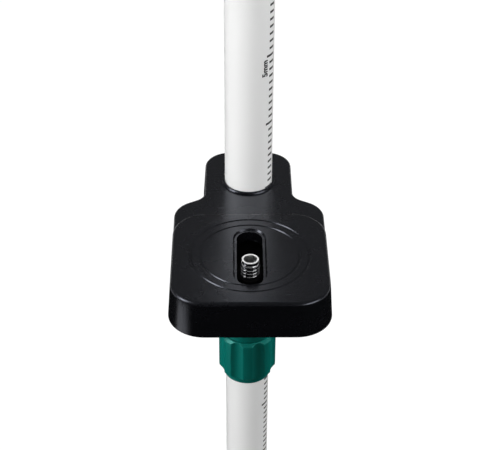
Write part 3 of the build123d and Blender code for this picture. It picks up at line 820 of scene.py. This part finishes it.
finish_nodes(white_enamel, "middle_tube")
finish_nodes(nylon, "middle_guide_bush", "middle_lock_collet")
cad_piece(
    "middle_lock_sleeve", "middle_sleeve", black_plastic, "middle_stage", "black_plastic", edge_width=0.35
)
twist_nut("middle_nut", "middle_lock_nut", middle_r, upper_r, levels("middle_lock_nut")[0], 1)


# Upper tube and spring head
# The thinnest tube carries a black housing with a coil spring inside. A green cap screwed
# into the housing guides the steel rod that the spring pushes up.

finish_nodes(white_enamel, "upper_tube")
finish_nodes(nylon, "upper_guide_bush", "plunger_ring")
finish_nodes(zinc, "plunger_rod")
cad_piece("head_body", "spring_housing", black_plastic, "upper_stage", "black_plastic", edge_width=0.5)


def make_coil_tree():
    """Winds round wire into a compression spring whose first and last turns lie closed."""
    tree, given, result = shape_tree("wound_spring", "Turns", "Coil radius", "Wire", "Length")
    winding = {"Resolution": 40, "Rotations": given["Turns"], "Height": 0.0}
    winding.update({"Start Radius": given["Coil radius"], "End Radius": given["Coil radius"]})
    flat = build(tree, "GeometryNodeCurveSpiral", winding).outputs[0]
    along = build(tree, "GeometryNodeSplineParameter").outputs["Factor"]
    closed_turn = sums(tree, "DIVIDE", 1.0, given["Turns"])
    last_turn = sums(tree, "SUBTRACT", 1.0, closed_turn)
    spread = sums(tree, "SUBTRACT", given["Length"], sums(tree, "MULTIPLY", given["Wire"], 3.0))
    stretches = [(0.0, closed_turn, given["Wire"])]
    stretches += [(closed_turn, last_turn, spread), (last_turn, 1.0, given["Wire"])]
    height = 0.0
    for start, end, climb in stretches:
        height = sums(tree, "ADD", height, mapped(tree, along, start, end, high=climb))
    rise = {"Geometry": flat, "Offset": vector(tree, z=height)}
    route = build(tree, "GeometryNodeSetPosition", rise).outputs[0]
    circle = {"Resolution": 12, "Radius": sums(tree, "DIVIDE", given["Wire"], 2.0)}
    section = build(tree, "GeometryNodeCurvePrimitiveCircle", circle).outputs[0]
    sweep = {"Curve": route, "Profile Curve": section, "Fill Caps": True}
    end_tree(tree, build(tree, "GeometryNodeCurveToMesh", sweep).outputs[0], given, result)
    return tree


SPRING_TURNS = 6.0
SPRING_WIRE = 1.8
spring_low, spring_high = levels("plunger_spring")
spring_length = spring_high - spring_low
spring = placed("wire_spring", bpy.data.meshes.new("wire_spring"))
coil_r = half_width("plunger_spring") - SPRING_WIRE / 2
grow(
    spring,
    make_coil_tree(),
    zinc,
    **{"Turns": SPRING_TURNS, "Coil radius": coil_r * MM},
    **{"Wire": SPRING_WIRE * MM, "Length": spring_length * MM},
)
spring.data.transform(Matrix.Translation((0, 0, (spring_low + SPRING_WIRE / 2) * MM)))
stand_for(spring, "upper_stage", "steel", "plunger_spring")
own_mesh(spring)
CAP_FLUTES = 24
CAP_CUTTER = 1.2
CAP_FLUTE_DEPTH = 0.5
CAP_EDGE = 0.9
CAP_PLUG_R = 12.0
ROD_GAP = 0.05
cap_bottom, cap_top = levels("head_cap")
cap_r = half_width("head_cap")
cap_bore_r = half_width("plunger_rod") + ROD_GAP
cap_plug_top = levels("head_body")[1]
cap_outline = [
    (cap_bore_r, cap_bottom),
    (CAP_PLUG_R, cap_bottom),
    (CAP_PLUG_R, cap_plug_top),
    (cap_r, cap_plug_top),
    (cap_r, cap_top),
    (cap_bore_r, cap_top),
]
cap_outline = dense(rounded(cap_outline, CAP_EDGE, closed=True), step=1.0, closed=True)
cap = turned("spring_cap", cap_outline, closed=True, segments=288)
fluted(cap, green_plastic, CAP_FLUTES, cap_r, CAP_CUTTER, CAP_FLUTE_DEPTH, softness=0.3)
stand_for(cap, "upper_stage", "green_plastic", "head_cap")


# Ceiling plate and pad
# A ribbed black plate on the rod's end, with a rubber pad stretched over its edge,
# so that the pole grips the ceiling without marking it.

cad_piece(
    "ceiling_plate", "ceiling_plate_moulding", black_plastic, "plunger", "black_plastic", edge_width=0.4
)
PAD_RIM = 2.5
pad_bottom, pad_top = levels("ceiling_pad")
pad_r = half_width("ceiling_pad")
pad_floor = levels("ceiling_plate")[1]
pad_outline = [(0, pad_floor), (pad_r - PAD_RIM, pad_floor), (pad_r - PAD_RIM, pad_bottom)]
pad_outline += [(pad_r, pad_bottom), (pad_r, pad_top), (0, pad_top)]
pad_outline = rounded(pad_outline, SOLE_EDGE, closed=False)
pad = turned("rubber_ceiling_pad", pad_outline, closed=False, segments=432)
fluted(pad, rubber, RIM_RIBS, pad_r, cutter=0.9, depth=0.5, softness=0.3)
stand_for(pad, "plunger", "rubber", "ceiling_pad")


# Platform
# A satin black moulding with a deep drafted skirt and a neck that surrounds the tube.
# Its top has moulded rings round a long slot, and a raised lip where the tube goes through.

SLOT_END_Y = -105.75
SLOT_HALF = 8.25
SLOT_RIM_R = 10.49
SLOT_FLOOR = 421.9
SLOT_REACH = 4.0
RIM_REACH = 2.2
RIM_MARGIN = 0.1
SEAM = 0.01
platform = dressed(softened("platform_body", "platform_moulding", edge_width=0.25), black_plastic)
for corner in platform.data.vertices:
    x, y, z = corner.co / MM
    off_centre = math.hypot(x, y - SLOT_END_Y)
    if y < SLOT_END_Y + SEAM and off_centre < SLOT_RIM_R + RIM_MARGIN and z > SLOT_FLOOR:
        outward = max(0.0, (off_centre - SLOT_HALF) / (SLOT_RIM_R - SLOT_HALF))
        corner.co.y -= (SLOT_REACH + (RIM_REACH - SLOT_REACH) * outward) * MM
LIP_R = 18.2
LIP_GAP = 0.6
LIP_FOOT = 427.0
LIP_TOP = 429.2
LIP_SHOULDER = 1.2
LIP_LEAN = 0.6
LIP_CROWN = 1.1
lip_outline = [
    (tube_r + LIP_GAP, LIP_FOOT),
    (LIP_R, LIP_FOOT),
    (LIP_R, LIP_TOP - LIP_SHOULDER),
    (LIP_R - LIP_LEAN, LIP_TOP - LIP_SHOULDER / 4),
    (LIP_R - LIP_CROWN, LIP_TOP),
    (tube_r + LIP_GAP, LIP_TOP),
]
lip = turned("lip", rounded(lip_outline, radius=0.25, closed=True), closed=True, segments=144)
moulding = bmesh.new()
moulding.from_mesh(platform.data)
moulding.from_mesh(lip.data)
moulding.to_mesh(platform.data)
moulding.free()
bpy.data.objects.remove(lip)
stand_for(platform, "platform", "black_plastic", "platform_body")


# Hub
# A ribbed black sleeve screwed under the neck, which slides on the tube on two nylon liners.
# Six pan-head screws hold its flange to the bosses of the platform.

HUB_SCREW_OUTLINE = [(0, -11), (1.8, -11), (1.8, 0), (3.4, 0), (3.4, 1.5), (2.6, 2.2), (0, 2.4)]
HUB_SCREW_HEAD = 2.4
HUB_SCREW_PLACES = [(18, 18), (-18, 18), (18, -18), (-18, -18), (11, -40), (-11, -40)]
DOWN = Vector((0, 0, -1))
cad_piece("hub_sleeve", "hub_moulding", black_plastic, "platform", "black_plastic", edge_width=0.4)
finish_nodes(nylon, "upper_liner", "lower_liner")
hub_screw = cross_screw("hub_screw", HUB_SCREW_OUTLINE, recess_r=1.8, recess_depth=1.1)
hub_screw_level = levels("hub_screws")[0] + HUB_SCREW_HEAD
hub_seats = [((x, y, hub_screw_level), DOWN) for x, y in HUB_SCREW_PLACES]
screw_group("hub_screw_heads", hub_screw, hub_seats, "platform", "hub_screws")


# Platform clamp
# A green threaded sleeve in the hub's lower end, a split collet and a fluted green nut.
# Turning the nut up closes the collet on the lower tube and holds the platform.

clamp_sleeve = cad_piece(
    "clamp_sleeve", "clamp_thread_sleeve", green_plastic, "platform", "green_plastic", edge_width=0.35
)
finish_nodes(nylon, "clamp_collet")
clamp_nut = twist_nut("clamp_grip_nut", "clamp_nut", tube_r, tube_r, levels("clamp_nut")[1], -1)


# Slider under the slot
# A black nylon block that runs between two rails and carries the stud along the slot.
# A steel keeper with four countersunk screws holds it up, above a plain washer. Block and keeper
# are coloured a dead matt black that is painted shade of the deep slot.

KEEPER_SCREW_OUTLINE = [(0, -8), (1.5, -8), (1.5, -1.3), (2.8, 0), (0, 0)]
KEEPER_SCREW_X = 15.2
KEEPER_SCREW_FRONT = -115.0
KEEPER_SCREW_REAR = -61.0
keeper_level = levels("slider_keeper")[0]
# Dead matt black with almost no gloss: painted shade for the slider, keeper and stud shoulder deep in the
# slot.
slot_shade_black = moulded_finish(
    "slot_shade_black",
    colour=(0.0012, 0.0012, 0.0014, 1),
    tint=(0.0018, 0.0018, 0.0020, 1),
    roughness=0.75,
    spread=0.06,
    grain=0.0005,
    relief=0.00002,
    dust=0.0,
    marks=0.08,
    ior=1.12,
)
cad_piece("slider_keeper", "keeper_plate", slot_shade_black, "platform", "steel", edge_width=0.2)
cad_piece("stud_slider", "slider_block", slot_shade_black, "stud_slider", "black_plastic", edge_width=0.3)
cad_piece("stud_washer", "plain_washer", zinc, "stud_slider", "steel", edge_width=0.15)
keeper_screw = cross_screw("keeper_screw", KEEPER_SCREW_OUTLINE, recess_r=1.5, recess_depth=0.9)
keeper_seats = [
    ((x, y, keeper_level), DOWN)
    for x in (KEEPER_SCREW_X, -KEEPER_SCREW_X)
    for y in (KEEPER_SCREW_FRONT, KEEPER_SCREW_REAR)
]
screw_group("keeper_screw_heads", keeper_screw, keeper_seats, "platform", "keeper_screws")


# Stud
# A chromed steel stud with a rolled thread, a plain point and a hexagon socket in its end.
# It screws up into the laser's base, and its shoulder turns in the slider. Shoulder and run-out
# wear painted shade in dead matt black, and the end face a pale grey painted reflection.

chrome = metal_finish(
    "chrome_plate",
    colour=(0.30, 0.30, 0.31, 1),
    tint=(0.38, 0.38, 0.39, 1),
    roughness=0.09,
    spread=0.03,
    grain=0.0002,
    relief=0.000002,
    marks=0.05,
)


def make_thread_tree():
    """Rolls a helical thread into a turned piece between two heights."""
    sizes = ("Pitch", "Depth", "Crest", "Shoulder", "Shoulder depth", "Root", "Low", "High", "Run-out")
    tree, given, result = shape_tree("rolled_thread", *sizes, "Least radius")
    axes, radius = round_axis(tree)
    turn = sums(tree, "DIVIDE", sums(tree, "ARCTAN2", axes[1], axes[0]), 2 * math.pi)
    phase = sums(tree, "FRACT", sums(tree, "SUBTRACT", sums(tree, "DIVIDE", axes[2], given["Pitch"]), turn))
    wave = sums(tree, "ABSOLUTE", sums(tree, "SUBTRACT", sums(tree, "MULTIPLY", phase, 2.0), 1.0))
    slope = mapped(tree, wave, given["Crest"], given["Shoulder"], high=given["Shoulder depth"])
    rest = sums(tree, "SUBTRACT", given["Depth"], given["Shoulder depth"])
    flank = mapped(tree, wave, given["Shoulder"], given["Root"], high=rest)
    groove = sums(tree, "ADD", slope, flank)
    risen = sums(tree, "DIVIDE", sums(tree, "SUBTRACT", axes[2], given["Low"]), given["Run-out"])
    left = sums(tree, "DIVIDE", sums(tree, "SUBTRACT", given["High"], axes[2]), given["Run-out"])
    inside = sums(tree, "MINIMUM", sums(tree, "MINIMUM", risen, left), 1.0)
    outer = sums(tree, "GREATER_THAN", radius, given["Least radius"])
    share = sums(tree, "MULTIPLY", sums(tree, "MAXIMUM", inside, 0.0), outer)
    cut = sums(tree, "MULTIPLY", groove, share)
    scale = sums(tree, "DIVIDE", sums(tree, "SUBTRACT", radius, cut), radius)
    end_tree(tree, drawn_in(tree, given["Geometry"], axes, scale), given, result)
    return tree


# Pale matt grey for the chrome stud's end face: a painted reflection of a bright backdrop.
end_face_painted_reflection = moulded_finish(
    "end_face_painted_reflection",
    colour=(0.66, 0.66, 0.66, 1),
    tint=(0.74, 0.74, 0.74, 1),
    roughness=0.45,
    spread=0.06,
    grain=0.0003,
    relief=0.000004,
    dust=0.0,
    marks=0.05,
)
dark_steel = metal_finish(
    "dark_steel",
    colour=(0.42, 0.42, 0.42, 1),
    tint=(0.60, 0.60, 0.60, 1),
    roughness=0.35,
    spread=0.08,
    grain=0.0003,
    relief=0.000006,
    marks=0.05,
)
STUD_Y = -106.0
STUD_R = 6.0
STUD_SHOULDER_R = 6.4
STUD_JOURNAL_R = 5.0
STUD_RELIEF_R = 5.0
STUD_EDGE = 0.25
FACE_R = 5.2
FACE_EDGE = 0.1
LEAD_R = 5.45
LEAD_TOP = 2.1
LEAD_BOTTOM = 3.2
THREAD_BOTTOM = 428.9
THREAD_RUN_OUT = 0.9
SHOULDER_TOP = 427.4
SHOULDER_BOTTOM = 421.85
SCREW_HOLE_R = 2.0
SCREW_HOLE_TOP = 407.7
FACE_BAND = 0.05
FACE_DROP = 0.5
SOCKET_MOUTH_R = 4.15
SOCKET_LIP_R = 4.0
SOCKET_LIP = 0.25
SOCKET_TAPER = 0.7
SOCKET_HALF = 3.7
SOCKET_DEPTH = 5.0
SOCKET_CONE = 1.2
THREAD_PITCH = 2.4
THREAD_DEPTH = 0.8
THREAD_MARGIN = 0.1
THREAD_CREST = 0.66
FLANK_SHOULDER = 0.42
SHOULDER_DEPTH = 0.145
THREAD_ROOT = 0.2
THREAD_START = math.radians(240)
stud_bottom, stud_top = levels("mount_stud")
stud_top -= FACE_DROP
stud_below = [(0, SCREW_HOLE_TOP), (SCREW_HOLE_R, SCREW_HOLE_TOP), (SCREW_HOLE_R, stud_bottom)]
stud_below += [(STUD_JOURNAL_R, stud_bottom), (STUD_JOURNAL_R, SHOULDER_BOTTOM)]
stud_below += [(STUD_SHOULDER_R, SHOULDER_BOTTOM), (STUD_SHOULDER_R, SHOULDER_TOP)]
stud_below += [(STUD_RELIEF_R, SHOULDER_TOP), (STUD_RELIEF_R, THREAD_BOTTOM)]
stud_below.append((STUD_R - 2 * THREAD_MARGIN, THREAD_BOTTOM))
stud_thread = [(STUD_R, THREAD_BOTTOM), (STUD_R, stud_top - LEAD_BOTTOM)]
stud_socket = [
    (LEAD_R, stud_top - LEAD_TOP),
    (FACE_R, stud_top - LEAD_TOP),
    (FACE_R, stud_top - FACE_EDGE),
    (FACE_R - FACE_EDGE, stud_top),
    (SOCKET_MOUTH_R, stud_top),
    (SOCKET_LIP_R, stud_top - SOCKET_LIP),
    (SOCKET_HALF, stud_top - SOCKET_TAPER, 6),
    (SOCKET_HALF, stud_top - SOCKET_DEPTH, 6),
    (0, stud_top - SOCKET_DEPTH - SOCKET_CONE),
]
stud_outline = rounded(stud_below, STUD_EDGE, closed=False)
stud_outline += dense(stud_thread, step=THREAD_PITCH / 32, closed=False) + stud_socket
stud = turned("laser_stud", stud_outline, closed=False, segments=120)
grow(
    stud,
    make_thread_tree(),
    chrome,
    **{"Pitch": THREAD_PITCH * MM, "Depth": THREAD_DEPTH * MM, "Shoulder depth": SHOULDER_DEPTH * MM},
    **{"Crest": THREAD_CREST, "Shoulder": FLANK_SHOULDER, "Root": THREAD_ROOT},
    **{"Low": THREAD_BOTTOM * MM, "High": (stud_top - LEAD_BOTTOM) * MM, "Run-out": THREAD_RUN_OUT * MM},
    **{"Least radius": (STUD_R - THREAD_MARGIN) * MM},
)
stud.data.transform(Matrix.Translation((0, STUD_Y * MM, 0)) @ Matrix.Rotation(THREAD_START, 4, "Z"))
stud.data.set_sharp_from_angle(angle=math.radians(40))
stud.data.materials.append(end_face_painted_reflection)
stud.data.materials.append(dark_steel)
stud.data.materials.append(slot_shade_black)
# The end face takes the painted reflection, the socket dark steel, and the shoulder and thread run-out the
# painted shade black.
for face in stud.data.polygons:
    off_axis = math.hypot(face.center.x, face.center.y - STUD_Y * MM) / MM
    if face.center.z > (stud_top - FACE_BAND) * MM and off_axis > SOCKET_MOUTH_R:
        face.material_index = 1
    elif face.center.z > SHOULDER_TOP * MM and off_axis < SOCKET_MOUTH_R:
        face.material_index = 2
    elif SHOULDER_BOTTOM * MM < face.center.z < (THREAD_BOTTOM + THREAD_RUN_OUT) * MM:
        face.material_index = 3
stand_for(stud, "stud", "chrome_steel", "mount_stud")


# Stud knob
# A fluted black knob pressed on the stud's lower end and held by one screw.
# It is turned by hand from under the platform.

KNOB_R = 16.0
KNOB_FLUTES = 10
KNOB_FLUTE_R = 4.0
KNOB_FLUTE_DEPTH = 1.5
KNOB_EDGE = 1.5
KNOB_RECESS_R = 3.6
KNOB_RECESS_DEPTH = 2.0
KNOB_SCREW_OUTLINE = [(0, -12), (2, -12), (2, -2), (3.6, -2), (3.6, 0), (0, 0)]
knob_bottom, knob_top = levels("stud_knob")
knob_outline = [
    (KNOB_RECESS_R, knob_bottom),
    (KNOB_R - KNOB_EDGE, knob_bottom),
    (KNOB_R, knob_bottom + KNOB_EDGE),
    (KNOB_R, knob_top - KNOB_EDGE),
    (KNOB_R - KNOB_EDGE, knob_top),
    (STUD_JOURNAL_R, knob_top),
    (STUD_JOURNAL_R, stud_bottom),
    (SCREW_HOLE_R, stud_bottom),
    (SCREW_HOLE_R, knob_bottom + KNOB_RECESS_DEPTH),
    (KNOB_RECESS_R, knob_bottom + KNOB_RECESS_DEPTH),
]
knob_outline = dense(rounded(knob_outline, radius=0.5, closed=True), step=0.8, closed=True)
knob = turned("stud_turning_knob", knob_outline, closed=True, segments=240)
fluted(knob, black_plastic, KNOB_FLUTES, KNOB_R, KNOB_FLUTE_R, KNOB_FLUTE_DEPTH, softness=0.4)
knob.data.transform(Matrix.Translation((0, STUD_Y * MM, 0)))
stand_for(knob, "stud", "black_plastic", "stud_knob")
knob_screw = cross_screw("knob_screw_shape", KNOB_SCREW_OUTLINE, recess_r=2.0, recess_depth=1.2)
knob_seat = [((0, STUD_Y, knob_bottom), DOWN)]
screw_group("knob_screw_head", knob_screw, knob_seat, "stud", "knob_screw")


# Studio
# A wide white floor inside a far white wall, with soft boxes on the left, in front, overhead and
# behind, and strips that only polished surfaces mirror, as they do the cards on the floor.
# One strip is for the stud alone, and a flag keeps the front box off the shaded clamp.

FLOOR_R = 30.0
WALL_HEIGHT = 8.0
FLOOR_COLOUR = (0.12, 0.12, 0.12, 1)
FLOOR_TINT = (0.13, 0.13, 0.13, 1)
FLOOR_GLOW = 0.95
FRONT_GLOW = 0.03
LOW_SHARE = 0.35
BACK_GLOW = 0.155
LIT_HEIGHT = 0.45


def disc(name, radius, wall=0.0):
    """A flat round sheet on the ground, or only a wall round it."""
    shape = bmesh.new()
    bmesh.ops.create_circle(shape, cap_ends=not wall, segments=96, radius=radius)
    if wall:
        raised = bmesh.ops.extrude_edge_only(shape, edges=shape.edges[:])["geom"]
        corners = [corner for corner in raised if isinstance(corner, bmesh.types.BMVert)]
        bmesh.ops.translate(shape, verts=corners, vec=(0, 0, wall))
    return shown(name, shape)


def floor_finish():
    """White paper that the camera and mirrors see a little brighter than it is lit."""
    material, tree, surface = new_finish("floor_paper")
    fibre = placed_group(tree, surface_grain, Grain=0.004)
    body = blend(tree, fibre["Tone"], FLOOR_COLOUR, FLOOR_TINT)
    path = build(tree, "ShaderNodeLightPath").outputs
    seen = sums(tree, "MAXIMUM", path["Is Camera Ray"], path["Is Glossy Ray"])
    seen = sums(tree, "MAXIMUM", seen, path["Is Transmission Ray"])
    tree.links.new(body, surface.inputs["Base Color"])
    tree.links.new(sums(tree, "MULTIPLY", seen, FLOOR_GLOW), surface.inputs["Emission Strength"])
    surface.inputs["Emission Color"].default_value = WHITE
    surface.inputs["Roughness"].default_value = 0.9
    surface.inputs["Specular IOR Level"].default_value = 0.0
    return material


def soft_box(name, azimuth, elevation, distance, width, height, power, mirrored=False):
    """A lamp that faces the platform and either lights it or only shows in polished surfaces.
    Its azimuth counts from the front to the right."""
    heading = Matrix.Rotation(math.radians(azimuth), 3, "Z")
    way = heading @ Matrix.Rotation(math.radians(-elevation), 3, "X") @ Vector((0, 1, 0))
    lamp = bpy.data.lights.new(name, "AREA")
    lamp.shape = "RECTANGLE"
    lamp.size = width
    lamp.size_y = height
    lamp.energy = power
    box = placed(name, lamp)
    place = Vector((0, 0, LIT_HEIGHT)) - way * distance
    box.matrix_world = Matrix.Translation(place) @ way.to_track_quat("-Z", "Y").to_matrix().to_4x4()
    box.visible_glossy = mirrored
    box.visible_diffuse = not mirrored
    return box


paper = floor_finish()
floor = dressed(disc("floor", FLOOR_R), paper)
wall = dressed(disc("far_wall", FLOOR_R, wall=WALL_HEIGHT), paper)
wall.visible_diffuse = False
wall.visible_glossy = False
wall.visible_shadow = False
soft_box("left_box", -74, 10, distance=1.5, width=1.2, height=1.2, power=16.5)
front_box = soft_box("front_box", -3, 28, distance=1.8, width=1.4, height=0.6, power=18.5)
soft_box("top_box", 30, 55, distance=2.0, width=1.4, height=1.4, power=12.0)
soft_box("rear_left_box", -112, 15, distance=1.8, width=1.2, height=1.2, power=8.0)
soft_box("rear_right_box", 112, 20, distance=1.8, width=1.2, height=1.2, power=24.0)
soft_box("left_strip", -72, 32, distance=1.5, width=0.6, height=0.9, power=10.0, mirrored=True)
soft_box("right_strip", 46, 15, distance=1.8, width=1.3, height=0.8, power=10.0, mirrored=True)
front_strip = soft_box("front_strip", 0, 18, distance=1.8, width=2.4, height=0.5, power=3.2, mirrored=True)
stud_alone = bpy.data.collections.new("stud_alone")
stud_alone.objects.link(stud)
front_strip.light_linking.receiver_collection = stud_alone
flagged = bpy.data.collections.new("flagged_from_front")
for piece in (clamp_nut, clamp_sleeve):
    flagged.objects.link(piece)
for entry in flagged.collection_objects:
    entry.light_linking.link_state = "EXCLUDE"
front_box.light_linking.receiver_collection = flagged

card_felt = moulded_finish(
    "card_felt",
    colour=(0.004, 0.004, 0.004, 1),
    tint=(0.006, 0.006, 0.006, 1),
    roughness=0.9,
    spread=0.05,
    grain=0.002,
    relief=0.0001,
    dust=0.0,
    marks=0.0,
    ior=1.0,
)


def mirrored_card(name, radius, place, material):
    """A round card on the floor that only polished surfaces see."""
    card = dressed(disc(name, radius), material)
    card.data.transform(Matrix.Translation(place))
    card.visible_camera = False
    card.visible_diffuse = False
    card.visible_shadow = False
    card.visible_transmission = False


mirrored_card("dark_card", 5.0, (0, -4.9, 0.004), card_felt)
mirrored_card("near_card", 1.9, (0, -0.25, 0.005), card_felt)
mirrored_card("white_card", 0.21, (-0.56, -0.27, 0.006), paper)

world = bpy.data.worlds.new("studio")
world.use_nodes = True
sky = world.node_tree
ambient = sky.nodes["Background"]
around = build(sky, "ShaderNodeTexCoord").outputs["Generated"]
sides = build(sky, "ShaderNodeSeparateXYZ", {0: around}).outputs
glow = mapped(sky, sides["Y"], start=-0.9, end=0.3, low=FRONT_GLOW, high=BACK_GLOW)
rise = mapped(sky, sides["Z"], start=0.1, end=0.5, low=LOW_SHARE)
sky.links.new(sums(sky, "MULTIPLY", glow, rise), ambient.inputs["Strength"])
ambient.inputs["Color"].default_value = WHITE
bpy.context.scene.world = world
bpy.context.scene.view_settings.view_transform = "Standard"


# Camera
# It stands in front of the platform, a little to the left, half a metre above the top,
# and looks down on it with a long lens.

SENSOR_WIDTH = 36.0
IMAGE_WIDTH = 500
FOCAL_PIXELS = 1327.2
CAMERA_PLACE = Vector((-10.8, -754.8, 930.3)) * MM
CAMERA_PITCH = math.radians(35.595)
CAMERA_HEADING = math.radians(-0.9227)
CAMERA_ROLL = math.radians(0.421)
lens = bpy.data.cameras.new("camera")
lens.sensor_width = SENSOR_WIDTH
lens.sensor_fit = "HORIZONTAL"
lens.lens = FOCAL_PIXELS * SENSOR_WIDTH / IMAGE_WIDTH
lens.clip_start = 0.01
camera = placed("camera", lens)
turn = Matrix.Rotation(CAMERA_HEADING, 4, "Z") @ Matrix.Rotation(math.pi / 2 - CAMERA_PITCH, 4, "X")
camera.matrix_world = Matrix.Translation(CAMERA_PLACE) @ turn @ Matrix.Rotation(CAMERA_ROLL, 4, "Z")
bpy.context.scene.camera = camera
